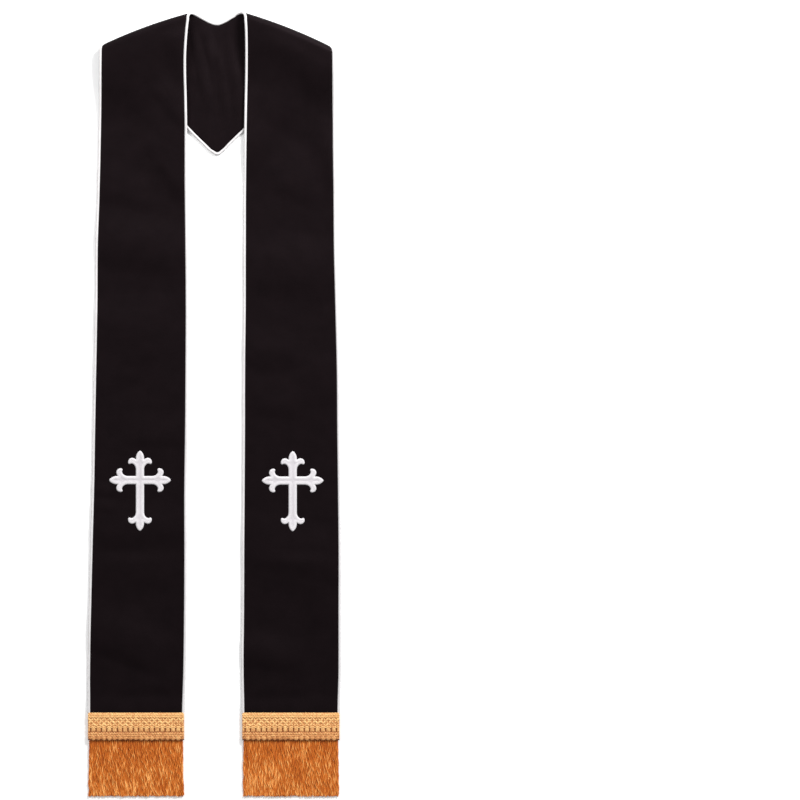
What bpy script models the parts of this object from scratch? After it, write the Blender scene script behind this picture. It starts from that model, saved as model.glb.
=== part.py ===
# A clerical stole laid flat, front side up.
#
# Each half is one strip of cloth. It runs from its hem up the front, turns over the shoulder
# in a soft loop, and goes down behind at a slant to the centre back seam, where both halves
# make a point. The back rests on the floor and the fronts lie over it.
# White piping follows every long edge, a gold braid holds the fringe at each hem, and an
# embroidered cross lies on each front.
#
# Metres, +Z up. The origin is on the floor, below the centre of the stole's outline.
# +Y points from the hems to the shoulders.

from collections import namedtuple
from math import cos, hypot, pi, radians, sin
from random import Random

import bmesh
import bpy
from mathutils import Matrix, Vector

# Cloth and gaps
WALL = 0.0024
SEAM_GAP = 0.0003
PIPING_R = 0.0019
PIPING_TURN = 0.0030
PIPING_CLEAR = 0.0001
SEAM_X = 0.0042

# Heights of a front's underside where it lies over the back
OVER_PIPING = 0.0043
OVER_CLOTH = 0.0028
OVER_EDGE_REACH = 0.015
OVER_CLOTH_RAMP = 0.022
OVER_FLOOR_RAMP = 0.050
LOOP_SLOPE = 0.070
LOOP_PUFF = 0.0009

# Hem, braid and fringe, along Y
BRAID_TOP = -0.4634
BRAID_HEIGHT = 0.0412
HEM_INSIDE = 0.0345
HEM_LIFT = 0.0015
HEM_RAMP = 0.030
BRAID_CLEAR = 0.003
FRINGE_END = -0.5894

# Where along Y the fronts reach the shoulder loop, and how late in it the edges move sideways
SHOULDER_SPAN = (0.450, 0.590)
LOOP_LATENESS = 1.25

# Rows and columns of a half
FRONT_ROWS = 42
ROW_BIAS = 1.05
TILT_FROM = 0.200
LOOP_ROWS = 8
COLUMNS = 8

# One row for each section of a front: its height on the stole and its two edges
FrontRow = namedtuple("FrontRow", "y outer inner")
LEFT_FRONT = [
    FrontRow(-0.520, -0.1862, -0.0492),
    FrontRow(-0.457, -0.1864, -0.0488),
    FrontRow(-0.400, -0.1866, -0.0471),
    FrontRow(-0.310, -0.1850, -0.0459),
    FrontRow(-0.220, -0.1829, -0.0455),
    FrontRow(-0.130, -0.1805, -0.0456),
    FrontRow(-0.040, -0.1790, -0.0444),
    FrontRow(0.050, -0.1773, -0.0438),
    FrontRow(0.140, -0.1756, -0.0434),
    FrontRow(0.230, -0.1750, -0.0439),
    FrontRow(0.320, -0.1722, -0.0448),
    FrontRow(0.425, -0.1700, -0.0448),
    FrontRow(0.515, -0.1687, -0.0462),
    FrontRow(0.560, -0.1680, -0.0435),
    FrontRow(0.590, -0.1676, -0.0395),
]
RIGHT_FRONT = [
    FrontRow(-0.520, 0.1838, 0.0450),
    FrontRow(-0.457, 0.1842, 0.0447),
    FrontRow(-0.400, 0.1856, 0.0437),
    FrontRow(-0.310, 0.1856, 0.0443),
    FrontRow(-0.220, 0.1858, 0.0447),
    FrontRow(-0.130, 0.1849, 0.0452),
    FrontRow(-0.040, 0.1838, 0.0457),
    FrontRow(0.050, 0.1831, 0.0459),
    FrontRow(0.140, 0.1810, 0.0468),
    FrontRow(0.230, 0.1788, 0.0470),
    FrontRow(0.320, 0.1781, 0.0472),
    FrontRow(0.425, 0.1771, 0.0486),
    FrontRow(0.515, 0.1768, 0.0502),
    FrontRow(0.560, 0.1760, 0.0500),
    FrontRow(0.590, 0.1752, 0.0478),
]

# One row for each section of the back: a point of its lower edge and one of the neck edge
BackRow = namedtuple("BackRow", "lower_x lower_y neck_x neck_y")
LEFT_BACK = [
    BackRow(-0.1410, 0.5240, -0.0240, 0.5787),
    BackRow(-0.1200, 0.5027, -0.0207, 0.5768),
    BackRow(-0.0980, 0.4796, -0.0174, 0.5749),
    BackRow(-0.0760, 0.4562, -0.0141, 0.5731),
    BackRow(-0.0560, 0.4342, -0.0110, 0.5714),
    BackRow(-0.0407, 0.4172, -0.0080, 0.5700),
    BackRow(-0.0270, 0.4029, -0.0050, 0.5688),
    BackRow(-0.0140, 0.3903, -0.0021, 0.5679),
    BackRow(-0.0044, 0.3812, 0.0008, 0.5673),
    BackRow(SEAM_X, 0.3768, SEAM_X, 0.5670),
]
RIGHT_BACK = [
    BackRow(0.1400, 0.5195, 0.0309, 0.5795),
    BackRow(0.1244, 0.5048, 0.0274, 0.5775),
    BackRow(0.1094, 0.4875, 0.0241, 0.5755),
    BackRow(0.0869, 0.4614, 0.0209, 0.5735),
    BackRow(0.0644, 0.4350, 0.0177, 0.5717),
    BackRow(0.0464, 0.4160, 0.0148, 0.5702),
    BackRow(0.0335, 0.4035, 0.0119, 0.5689),
    BackRow(0.0212, 0.3915, 0.0093, 0.5680),
    BackRow(0.0122, 0.3821, 0.0067, 0.5673),
    BackRow(SEAM_X, 0.3768, SEAM_X, 0.5670),
]

# A half: where its shoulder fold runs, how round the loop is at both ends of the fold,
# and how far along the fold its two edges have moved once they are below
Half = namedtuple("Half", "name side corner neck corner_r neck_r bulge lower_e neck_e front back")
HALVES = [
    Half("left", -1, (-0.1674, 0.5379), (-0.0389, 0.5850), 0.0060, 0.0070, 0.0030,
         0.0095, 0.1462, LEFT_FRONT, LEFT_BACK),
    Half("right", 1, (0.1746, 0.5349), (0.0464, 0.5855), 0.0083, 0.0075, 0.0030,
         0.0158, 0.1492, RIGHT_FRONT, RIGHT_BACK),
]

# The largest swells of the cloth: centre, half length, half width, direction and height
Swell = namedtuple("Swell", "x y length width angle height")
FRONT_SWELLS = [
    Swell(-0.075, 0.435, 0.075, 0.032, -52, 0.0026),
    Swell(-0.082, 0.345, 0.080, 0.034, -50, 0.0030),
    Swell(-0.110, 0.235, 0.105, 0.040, -12, 0.0034),
    Swell(-0.115, 0.100, 0.095, 0.045, -6, 0.0026),
    Swell(-0.118, -0.236, 0.100, 0.036, -6, 0.0030),
    Swell(-0.130, -0.345, 0.085, 0.036, -24, 0.0028),
    Swell(0.100, 0.440, 0.110, 0.038, -48, 0.0030),
    Swell(0.120, 0.205, 0.100, 0.038, -5, 0.0034),
    Swell(0.085, 0.075, 0.070, 0.036, -10, 0.0022),
    Swell(0.115, -0.244, 0.100, 0.038, -9, 0.0032),
    Swell(0.085, -0.380, 0.075, 0.036, -14, 0.0026),
]
BACK_SWELLS = [
    Swell(-0.016, 0.500, 0.060, 0.012, 78, 0.0010),
    Swell(0.026, 0.505, 0.060, 0.013, 98, 0.0012),
]

# Braid: how wide it is round the hem and what its rows look like
BRAID_WALL = 0.0012
BRAID_SIDE = 0.0024
BRAID_PITCH = 0.0079
BRAID_SLOT_DEPTH = 0.0006
BRAID_SCALLOP = 0.0012
BRAID_BULGE = 0.0004
BRAID_CORNER = 0.98
BraidRow = namedtuple("BraidRow", "down rise slot")
BRAID_ROWS = [
    BraidRow(0.0000, -0.0001, 0),
    BraidRow(0.0014, 0.0008, 0),
    BraidRow(0.0120, 0.0008, 0),
    BraidRow(0.0140, 0.0003, 0),
    BraidRow(0.0220, 0.0007, 0),
    BraidRow(0.0242, 0.0005, 1),
    BraidRow(0.0278, 0.0005, 1),
    BraidRow(0.0300, 0.0008, 0),
    BraidRow(0.0385, 0.0008, 0),
    BraidRow(BRAID_HEIGHT, -0.0001, 0),
]

# Fringe
STRANDS = 60
STRAND_WIDTH = 0.00155
ROOT_HEIGHT = 0.0050
FRINGE_SPREAD = 0.020
FRINGE_SEED = 7
STRAND_STRAY = 0.00012
STRAND_TRIM = 0.0012
FringeWave = namedtuple("FringeWave", "sway turns")
FRINGE_WAVES = [FringeWave(0.0011, 95.0), FringeWave(0.0007, 260.0)]
StrandRow = namedtuple("StrandRow", "down upper_z lower_z thick sway")
STRAND_ROWS = [
    StrandRow(0.000, 0.0027, 0.0027, 0.0016, 0.0),
    StrandRow(0.014, 0.0033, 0.0022, 0.0015, 0.3),
    StrandRow(0.048, 0.0027, 0.0012, 0.0013, 0.8),
    StrandRow(0.0855, 0.0021, 0.0010, 0.0011, 1.0),
]

# Crosses: where the bars meet, their width, the reach of the four ends
CROSS_BAR = 0.0062
CROSS_THICK = 0.0010
CROSS_FLAT = 0.0245
Cross = namedtuple("Cross", "name x y")
CROSSES = [Cross("left_cross", -0.1118, -0.1148), Cross("right_cross", 0.1172, -0.1155)]
CrossEnd = namedtuple("CrossEnd", "reach turn")
CROSS_ENDS = [
    CrossEnd(0.0463, 0),
    CrossEnd(0.0443, 90),
    CrossEnd(0.0463, 180),
    CrossEnd(0.0762, 270),
]

# Half of a fleury end, from the bar to the tip: how far out and how far back from the tip
EndPoint = namedtuple("EndPoint", "out back")
END_OUTLINE = [
    EndPoint(0.0062, 0.0275),
    EndPoint(0.0071, 0.0240),
    EndPoint(0.0096, 0.0207),
    EndPoint(0.0128, 0.0194),
    EndPoint(0.0158, 0.0203),
    EndPoint(0.0177, 0.0188),
    EndPoint(0.0176, 0.0152),
    EndPoint(0.0155, 0.0120),
    EndPoint(0.0118, 0.0108),
    EndPoint(0.0085, 0.0116),
    EndPoint(0.0064, 0.0131),
    EndPoint(0.0066, 0.0092),
    EndPoint(0.0052, 0.0046),
    EndPoint(0.0026, 0.0012),
]

# Colour and roughness of each kind of piece
Finish = namedtuple("Finish", "name colour roughness")
FINISHES = [
    Finish("black_cloth", (0.012, 0.008, 0.009, 1.0), 0.72),
    Finish("white_piping", (0.86, 0.85, 0.85, 1.0), 0.60),
    Finish("white_thread", (0.80, 0.77, 0.80, 1.0), 0.48),
    Finish("gold_braid", (0.76, 0.46, 0.19, 1.0), 0.50),
    Finish("gold_fringe", (0.58, 0.20, 0.04, 1.0), 0.42),
]


def material(name, colour, roughness):
    """A plain finish for one kind of piece."""
    finish = bpy.data.materials.new(name)
    finish.use_nodes = True
    shader = finish.node_tree.nodes["Principled BSDF"]
    shader.inputs["Base Color"].default_value = colour
    shader.inputs["Roughness"].default_value = roughness
    shader.inputs["Metallic"].default_value = 0.0
    return finish


def add_object(name, data, collection, finish):
    """Put new data in the scene as one named piece."""
    piece = bpy.data.objects.new(name, data)
    collection.objects.link(piece)
    data.materials.append(finish)
    return piece


def ease(t):
    """A soft step from 0 to 1."""
    t = min(max(t, 0.0), 1.0)
    return t * t * (3.0 - 2.0 * t)


def mix(a, b, t):
    return a + (b - a) * t


def smooth_value(rows, key, value, at):
    """Read a column of a table between its rows, along a smooth curve."""
    keys = [getattr(row, key) for row in rows]
    values = [getattr(row, value) for row in rows]
    i = max(k for k in range(len(keys) - 1) if k == 0 or keys[k] <= at)
    before = max(i - 1, 0)
    after = min(i + 2, len(keys) - 1)
    span = keys[i + 1] - keys[i]
    slope_a = (values[i + 1] - values[before]) / (keys[i + 1] - keys[before]) * span
    slope_b = (values[after] - values[i]) / (keys[after] - keys[i]) * span
    t = (at - keys[i]) / span
    return (
        (2 * t ** 3 - 3 * t ** 2 + 1) * values[i]
        + (t ** 3 - 2 * t ** 2 + t) * slope_a
        + (3 * t ** 2 - 2 * t ** 3) * values[i + 1]
        + (t ** 3 - t ** 2) * slope_b
    )


def cross_clearance(x, y):
    """0 on and round the crosses, where the cloth is held flat by the stitches, else 1."""
    share = 1.0
    for cross in CROSSES:
        right, top, left, bottom = (end.reach for end in CROSS_ENDS)
        beside = max(x - cross.x - right, cross.x - left - x, 0.0)
        beyond = max(y - cross.y - top, cross.y - bottom - y, 0.0)
        share = min(share, ease((hypot(beside, beyond) - CROSS_FLAT) / CROSS_FLAT))
    return share


def swell_height(swells, x, y):
    """Height of the soft swells at a place on the cloth, exactly 0 between them."""
    total = 0.0
    for swell in swells:
        dx = x - swell.x
        dy = y - swell.y
        turn = radians(swell.angle)
        along = (dx * cos(turn) + dy * sin(turn)) / swell.length
        across = (dy * cos(turn) - dx * sin(turn)) / swell.width
        reach = along ** 2 + across ** 2
        if reach < 1.0:
            total += swell.height * (1.0 - reach) ** 2
    return total * cross_clearance(x, y)


class Fold:
    """The shoulder fold of a half: places along it (e) and away from it towards the hem (d)."""

    def __init__(self, half):
        self.half = half
        self.corner = Vector(half.corner)
        run = Vector(half.neck) - self.corner
        self.length = run.length
        self.along = run.normalized()
        self.away = Vector((self.along.y * -half.side, -abs(self.along.x)))

    def split(self, x, y):
        offset = Vector((x, y)) - self.corner
        return offset.dot(self.along), offset.dot(self.away)

    def point(self, e, d):
        flat = self.corner + self.along * e + self.away * d
        return flat.x, flat.y

    def radius(self, e):
        share = min(max(e / self.length, 0.0), 1.0)
        puff = LOOP_PUFF * 4.0 * share * (1.0 - share)
        return mix(self.half.corner_r, self.half.neck_r, share) + puff

    def turn_d(self, e):
        """How far from the silhouette the loop's centre is."""
        share = min(max(e / self.length, 0.0), 1.0)
        return self.radius(e) + WALL / 2 - self.half.bulge * 4.0 * share * (1.0 - share)


def edge_crossing(half, fold, column):
    """The place where a front's edge reaches the top of the shoulder loop."""
    low, high = SHOULDER_SPAN
    for step in range(40):
        y = (low + high) / 2
        e, d = fold.split(smooth_value(half.front, "y", column, y), y)
        if d > fold.turn_d(e):
            low = y
        else:
            high = y
    return smooth_value(half.front, "y", column, low), low


def outside_back(half, x, y):
    """How far a place lies beyond the piping of the back's lower edge, below 0 on the back."""
    edge = [Vector((row.lower_x, row.lower_y)) for row in half.back]
    start = Vector(half.corner)
    point = Vector((x, y))
    best = None
    for a, b in zip([start] + edge[:-1], edge):
        run = b - a
        t = min(max((point - a).dot(run) / run.length_squared, 0.0), 1.0)
        near = a + run * t
        distance = (point - near).length
        if best is None or distance < best[0]:
            cross = (run.x * (point - a).y - run.y * (point - a).x) * -half.side
            best = (distance, cross)
    return -best[0] if best[1] > 0.0 else best[0]


def front_underside(half, fold, x, y):
    """Height of a front's underside above the floor."""
    beyond = outside_back(half, x, y)
    if beyond >= 0.0:
        over = OVER_PIPING * (1.0 - ease((beyond - OVER_EDGE_REACH) / OVER_FLOOR_RAMP))
    else:
        inside = ease((-beyond - OVER_EDGE_REACH) / OVER_CLOTH_RAMP)
        over = mix(OVER_PIPING, OVER_CLOTH, inside)
    e, d = fold.split(x, y)
    slope = 1.0 - ease((d - fold.turn_d(e)) / LOOP_SLOPE)
    height = over + (2.0 * fold.radius(e) - over) * slope
    hem = HEM_LIFT * ease((BRAID_TOP + HEM_RAMP - y) / (HEM_RAMP - BRAID_CLEAR))
    return height + hem + swell_height(FRONT_SWELLS, x, y) * (1.0 - slope)


def half_grid(half):
    """Middle surface of a half, as rows of points from the hem to the centre back seam."""
    fold = Fold(half)
    outer_top = edge_crossing(half, fold, "outer")
    inner_top = edge_crossing(half, fold, "inner")
    hem = BRAID_TOP - HEM_INSIDE
    free = BRAID_TOP + HEM_RAMP
    heights = [hem] + [mix(BRAID_TOP + BRAID_CLEAR, free, share) for share in (0.0, 0.35, 0.7)]
    for i in range(FRONT_ROWS + 1):
        heights.append(mix(free, outer_top[1], 1.0 - (1.0 - i / FRONT_ROWS) ** ROW_BIAS))
    rows = []
    for outer_y in heights:
        tilt = ease((outer_y - TILT_FROM) / (outer_top[1] - TILT_FROM))
        inner_y = outer_y + (inner_top[1] - outer_top[1]) * tilt
        outer = Vector((smooth_value(half.front, "y", "outer", outer_y), outer_y))
        inner = Vector((smooth_value(half.front, "y", "inner", inner_y), inner_y))
        row = []
        for j in range(COLUMNS + 1):
            flat = outer.lerp(inner, j / COLUMNS)
            z = front_underside(half, fold, flat.x, flat.y) + WALL / 2
            row.append(Vector((flat.x, flat.y, z)))
        rows.append(row)
    outer_e = fold.split(*outer_top)[0]
    inner_e = fold.split(*inner_top)[0]
    for i in range(1, LOOP_ROWS + 1):
        turn = pi / 2 - pi * i / LOOP_ROWS
        share = (i / LOOP_ROWS) ** LOOP_LATENESS
        start_e = mix(outer_e, half.lower_e, share)
        end_e = mix(inner_e, half.neck_e, share)
        row = []
        for j in range(COLUMNS + 1):
            e = mix(start_e, end_e, j / COLUMNS)
            radius = fold.radius(e)
            x, y = fold.point(e, fold.turn_d(e) - radius * cos(turn))
            row.append(Vector((x, y, WALL / 2 + radius * (1.0 + sin(turn)))))
        rows.append(row)
    for section in half.back:
        lower = Vector((section.lower_x, section.lower_y))
        neck = Vector((section.neck_x, section.neck_y))
        if section is half.back[-1]:
            lower.x += half.side * SEAM_GAP / 2
            neck.x += half.side * SEAM_GAP / 2
        row = []
        for j in range(COLUMNS + 1):
            flat = lower.lerp(neck, j / COLUMNS)
            z = WALL / 2 + swell_height(BACK_SWELLS, flat.x, flat.y)
            row.append(Vector((flat.x, flat.y, z)))
        rows.append(row)
    return rows


def build_half(half, rows, collection, finish):
    """The cloth of a half: its middle surface, thickened to both sides."""
    mesh = bmesh.new()
    grid = [[mesh.verts.new(point) for point in row] for row in rows]
    for lower, upper in zip(grid, grid[1:]):
        for j in range(COLUMNS):
            corners = [lower[j], lower[j + 1], upper[j + 1], upper[j]]
            mesh.faces.new(corners if half.side < 0 else corners[::-1])
    data = bpy.data.meshes.new(half.name + "_half")
    mesh.to_mesh(data)
    mesh.free()
    piece = add_object(half.name + "_half", data, collection, finish)
    data.shade_smooth()
    shell = piece.modifiers.new("Cloth thickness", "SOLIDIFY")
    shell.thickness = WALL
    shell.offset = 0.0
    shell.use_even_offset = True
    return piece


def piping_path(rows, column, half):
    """Centre line of the piping beside an edge of a half, from the braid to the seam."""
    edge = [row[column] for row in rows]
    beside = [row[1 if column == 0 else COLUMNS - 1] for row in rows]
    away = PIPING_R + SEAM_GAP
    path = []
    for i, point in enumerate(edge):
        run = (edge[min(i + 1, len(edge) - 1)] - edge[max(i - 1, 0)]).normalized()
        outward = point - beside[i]
        outward -= run * outward.dot(run)
        outward.normalize()
        normal = run.cross(outward)
        lift = normal * normal.z * (PIPING_R - WALL / 2 + PIPING_CLEAR)
        path.append(point + outward * away + lift)
    start = BRAID_TOP + SEAM_GAP
    while path[1].y < start + BRAID_CLEAR:
        path.pop(0)
    path[0] = path[0].lerp(path[1], (start - path[0].y) / (path[1].y - path[0].y))
    seam = edge[-1]
    end_y = seam.y + (away + SEAM_GAP) * (-1.0 if column == 0 else 1.0)
    while abs(path[-1].x - seam.x) < PIPING_TURN * 1.5:
        path.pop()
    for reach in (PIPING_TURN, 0.0):
        path.append(Vector((seam.x + half.side * reach, end_y, PIPING_R + PIPING_CLEAR)))
    return path


def build_piping(name, path, collection, finish):
    """A cord of piping as a round tube with filled ends."""
    curve = bpy.data.curves.new(name, "CURVE")
    curve.dimensions = "3D"
    curve.bevel_depth = PIPING_R
    curve.bevel_resolution = 1
    curve.use_fill_caps = True
    spline = curve.splines.new("POLY")
    spline.points.add(len(path) - 1)
    for place, point in zip(spline.points, path):
        place.co = (*point, 1.0)
    spline.use_smooth = True
    return add_object(name, curve, collection, finish)


def braid_ring(half_width, low, high, columns, corner):
    """Points round a flat sleeve, over the top first and back below."""
    top = [Vector((mix(-half_width, half_width, k / columns), high)) for k in range(columns + 1)]
    side = (low + high) / 2
    under = [Vector((half_width * share, low)) for share in (corner, 0.5, 0.0, -0.5, -corner)]
    right = Vector((half_width + BRAID_BULGE, side))
    left = Vector((-half_width - BRAID_BULGE, side))
    return top + [right] + under + [left]


def hem_place(half):
    """Middle and width of a front at its hem."""
    outer = smooth_value(half.front, "y", "outer", BRAID_TOP - BRAID_HEIGHT / 2)
    inner = smooth_value(half.front, "y", "inner", BRAID_TOP - BRAID_HEIGHT / 2)
    return (outer + inner) / 2, abs(outer - inner)


def build_braid(half, collection, finish):
    """The gold braid, a flat sleeve round the hem, with its bands, slots and scalloped edge."""
    middle, width = hem_place(half)
    inner_half = width / 2 + SEAM_GAP * 2
    outer_half = inner_half + BRAID_SIDE
    floor = HEM_LIFT - SEAM_GAP
    ceiling = HEM_LIFT + WALL + SEAM_GAP
    repeats = round(2 * outer_half / BRAID_PITCH)
    columns = repeats * 3
    mesh = bmesh.new()
    outer_rings = []
    for section in BRAID_ROWS:
        ring = []
        points = braid_ring(outer_half, 0.0, ceiling + BRAID_WALL, columns, BRAID_CORNER)
        for k, point in enumerate(points):
            y = BRAID_TOP - section.down
            z = point.y
            on_top = 0 < k < columns
            if on_top:
                z += section.rise
            if on_top and section.slot and k % 3 == 1:
                z -= BRAID_SLOT_DEPTH
            if section is BRAID_ROWS[-1] and on_top and k % 3 == 1:
                y += BRAID_SCALLOP
            ring.append(mesh.verts.new((middle + point.x, y, z)))
        outer_rings.append(ring)
    inner_rings = []
    for down in (0.0, BRAID_HEIGHT):
        points = braid_ring(inner_half, floor, ceiling, columns, 1.0)
        ring = [mesh.verts.new((middle + p.x, BRAID_TOP - down, p.y)) for p in points]
        inner_rings.append(ring)
    count = len(outer_rings[0])
    walls = list(zip(outer_rings, outer_rings[1:]))
    walls.append((outer_rings[-1], inner_rings[1]))
    walls.append((inner_rings[1], inner_rings[0]))
    walls.append((inner_rings[0], outer_rings[0]))
    for first, second in walls:
        for k in range(count):
            following = (k + 1) % count
            mesh.faces.new((first[k], second[k], second[following], first[following]))
    bmesh.ops.recalc_face_normals(mesh, faces=mesh.faces)
    name = half.name + "_braid"
    data = bpy.data.meshes.new(name)
    mesh.to_mesh(data)
    mesh.free()
    return add_object(name, data, collection, finish)


def build_fringe(half, collection, finish):
    """Strands that lie side by side, grown from one narrow root strip inside the braid."""
    middle, width = hem_place(half)
    pitch = width / STRANDS
    first_x = middle - pitch * STRANDS / 2
    hem = BRAID_TOP - HEM_INSIDE
    root_back = hem - SEAM_GAP * 2
    root_front = root_back - ROOT_HEIGHT
    rng = Random(FRINGE_SEED + half.side)
    mesh = bmesh.new()

    def section(x0, x1, y, z, thick):
        low = z - thick / 2
        high = z + thick / 2
        return [mesh.verts.new(p) for p in ((x0, y, low), (x1, y, low), (x1, y, high), (x0, y, high))]

    def skin(a, b):
        for k in range(4):
            mesh.faces.new((a[k], a[(k + 1) % 4], b[(k + 1) % 4], b[k]))

    root_z = STRAND_ROWS[0].upper_z
    root_thick = STRAND_ROWS[0].thick
    lines = []
    for k in range(STRANDS):
        left = first_x + pitch * k + (pitch - STRAND_WIDTH) / 2
        lines.append(left)
        lines.append(left + STRAND_WIDTH)
    corners = []
    for x in lines:
        corners.append([
            mesh.verts.new((x, y, root_z + side * root_thick / 2))
            for y, side in ((root_back, -1), (root_front, -1), (root_front, 1), (root_back, 1))
        ])
    for k in range(len(lines) - 1):
        a = corners[k]
        b = corners[k + 1]
        mesh.faces.new((a[0], a[1], b[1], b[0]))
        mesh.faces.new((a[2], a[3], b[3], b[2]))
        mesh.faces.new((a[3], a[0], b[0], b[3]))
        if k % 2 == 1:
            mesh.faces.new((a[1], a[2], b[2], b[1]))
    mesh.faces.new(corners[0])
    mesh.faces.new(corners[-1][::-1])
    for k in range(STRANDS):
        left = corners[2 * k]
        right = corners[2 * k + 1]
        ring = [left[1], right[1], right[2], left[2]]
        centre = (lines[2 * k] + lines[2 * k + 1]) / 2
        wave = sum(w.sway * sin(centre * w.turns + half.side) for w in FRINGE_WAVES)
        own = rng.uniform(-STRAND_STRAY, STRAND_STRAY)
        trim = rng.uniform(0.0, STRAND_TRIM)
        for row in STRAND_ROWS[1:]:
            last = row is STRAND_ROWS[-1]
            y = root_front - row.down + (trim if last else 0.0)
            y = max(y, FRINGE_END + trim)
            shift = (wave + own + (centre - middle) * FRINGE_SPREAD) * row.sway
            x0 = centre + shift - STRAND_WIDTH / 2
            z = row.upper_z if k % 2 else row.lower_z
            following = section(x0, x0 + STRAND_WIDTH, y, z, row.thick)
            skin(ring, following)
            ring = following
        mesh.faces.new(ring)
    bmesh.ops.recalc_face_normals(mesh, faces=mesh.faces)
    name = half.name + "_fringe"
    data = bpy.data.meshes.new(name)
    mesh.to_mesh(data)
    mesh.free()
    return add_object(name, data, collection, finish)


def cross_outline():
    """The whole outline of a cross, once round, with its bars' meeting point at 0, 0."""
    outline = []
    for end in CROSS_ENDS:
        turn = Matrix.Rotation(radians(end.turn), 2)
        right = [Vector((end.reach - point.back, -point.out)) for point in END_OUTLINE]
        tip = [Vector((end.reach, 0.0))]
        left = [Vector((end.reach - point.back, point.out)) for point in END_OUTLINE[::-1]]
        inner_corner = [Vector((CROSS_BAR, CROSS_BAR))]
        outline += [turn @ point for point in right + tip + left + inner_corner]
    return outline


def build_cross(cross, collection, finish):
    """An embroidered cross: a flat raised figure just above the cloth of its front."""
    curve = bpy.data.curves.new(cross.name, "CURVE")
    curve.dimensions = "2D"
    curve.fill_mode = "BOTH"
    curve.extrude = CROSS_THICK / 2
    outline = cross_outline()
    spline = curve.splines.new("POLY")
    spline.points.add(len(outline) - 1)
    for place, point in zip(spline.points, outline):
        place.co = (point.x, point.y, 0.0, 1.0)
    spline.use_cyclic_u = True
    piece = add_object(cross.name, curve, collection, finish)
    piece.location = (cross.x, cross.y, WALL + SEAM_GAP + CROSS_THICK / 2)
    return piece


def build():
    for old in list(bpy.data.objects):
        bpy.data.objects.remove(old, do_unlink=True)
    collection = bpy.data.collections.new("clerical_stole")
    bpy.context.scene.collection.children.link(collection)
    black, white, thread, braid, fringe = (material(*finish) for finish in FINISHES)
    for half in HALVES:
        rows = half_grid(half)
        build_half(half, rows, collection, black)
        outer = piping_path(rows, 0, half)
        inner = piping_path(rows, COLUMNS, half)
        build_piping(half.name + "_outer_piping", outer, collection, white)
        build_piping(half.name + "_inner_piping", inner, collection, white)
        build_braid(half, collection, braid)
        build_fringe(half, collection, fringe)
    for cross in CROSSES:
        build_cross(cross, collection, thread)


build()
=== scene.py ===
# %% [markdown]
# # A clerical stole, laid flat
#
# A stole is a long narrow vestment that hangs round the neck. This one is black, with white
# piping along its edges, a white embroidered cross on each front, and a gold braid that holds
# a fringe at each end. It lies on a pale floor, front side up, and the camera looks straight
# down on it.
#
# The solid model is loaded first as a frame. Every soft piece below is built round it in the
# same metres, and then stands for its solid.

from collections import namedtuple
from math import cos, hypot, pi, radians, sin, sqrt

import bmesh
import bpy
import numpy as np
from mathutils import Matrix, Vector, noise


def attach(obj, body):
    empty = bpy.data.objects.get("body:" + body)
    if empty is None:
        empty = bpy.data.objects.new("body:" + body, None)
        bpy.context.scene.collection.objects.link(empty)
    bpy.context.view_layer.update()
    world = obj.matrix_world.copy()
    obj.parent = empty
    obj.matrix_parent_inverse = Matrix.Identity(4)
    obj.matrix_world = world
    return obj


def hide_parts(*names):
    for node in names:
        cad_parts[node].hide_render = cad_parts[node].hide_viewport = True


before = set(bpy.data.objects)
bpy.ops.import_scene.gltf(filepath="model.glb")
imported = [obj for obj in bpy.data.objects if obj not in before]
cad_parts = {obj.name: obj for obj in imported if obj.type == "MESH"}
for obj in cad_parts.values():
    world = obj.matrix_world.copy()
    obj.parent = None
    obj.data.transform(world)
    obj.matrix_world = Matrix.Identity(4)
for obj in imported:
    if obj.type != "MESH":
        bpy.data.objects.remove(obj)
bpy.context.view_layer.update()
print("solids:", ", ".join(sorted(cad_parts)))

# %% [markdown]
# ## Camera, floor and light
#
# The photograph looks straight down, with next to no perspective. A real camera gets that
# from far away with a long lens, and so does this one. The picture is 1.2 m wide, and the
# stole lies in its left half, as in the photograph.

# %% Camera
PICTURE_WIDTH = 1.2
PICTURE_MIDDLE = (0.2781, 0.0054)
LENS = 200.0
SENSOR = 36.0


def show(name, data):
    """Put a new object with this data in the scene."""
    thing = bpy.data.objects.new(name, data)
    bpy.context.scene.collection.objects.link(thing)
    return thing


camera_data = bpy.data.cameras.new("long_lens")
camera_data.lens = LENS
camera_data.sensor_width = SENSOR
camera = show("camera", camera_data)
camera.location = (*PICTURE_MIDDLE, PICTURE_WIDTH * LENS / SENSOR)
bpy.context.scene.camera = camera
bpy.context.scene.view_settings.view_transform = "Standard"
print("the camera hangs", round(camera.location.z, 2), "m above the floor")

# %% [markdown]
# One large soft lamp stands at the upper right, because the dark side of every fold in the
# photograph faces the lower left. A wide, weak one fills from the left, and the world gives
# the rest. Black cloth shows its folds mostly by how they shine, so the main lamp stands
# low enough to graze them. Both lamps stand near the neck end, so the light falls off towards
# the hems, as it does in the photograph.

# %% Floor and lamps
FLOOR_HALF = 20.0
WORLD_STRENGTH = 0.52

Lamp = namedtuple("Lamp", "name place aim size power")
LAMPS = [
    Lamp("main_lamp", (1.6, 2.2, 1.6), (0.0, 0.10, 0.0), 1.0, 150.0),
    Lamp("fill_lamp", (-1.4, 1.6, 2.0), (0.0, 0.1, 0.0), 1.9, 46.0),
]

world = bpy.data.worlds.new("studio")
world.use_nodes = True
world.node_tree.nodes["Background"].inputs["Color"].default_value = (1.0, 1.0, 1.0, 1.0)
world.node_tree.nodes["Background"].inputs["Strength"].default_value = WORLD_STRENGTH
bpy.context.scene.world = world

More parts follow.
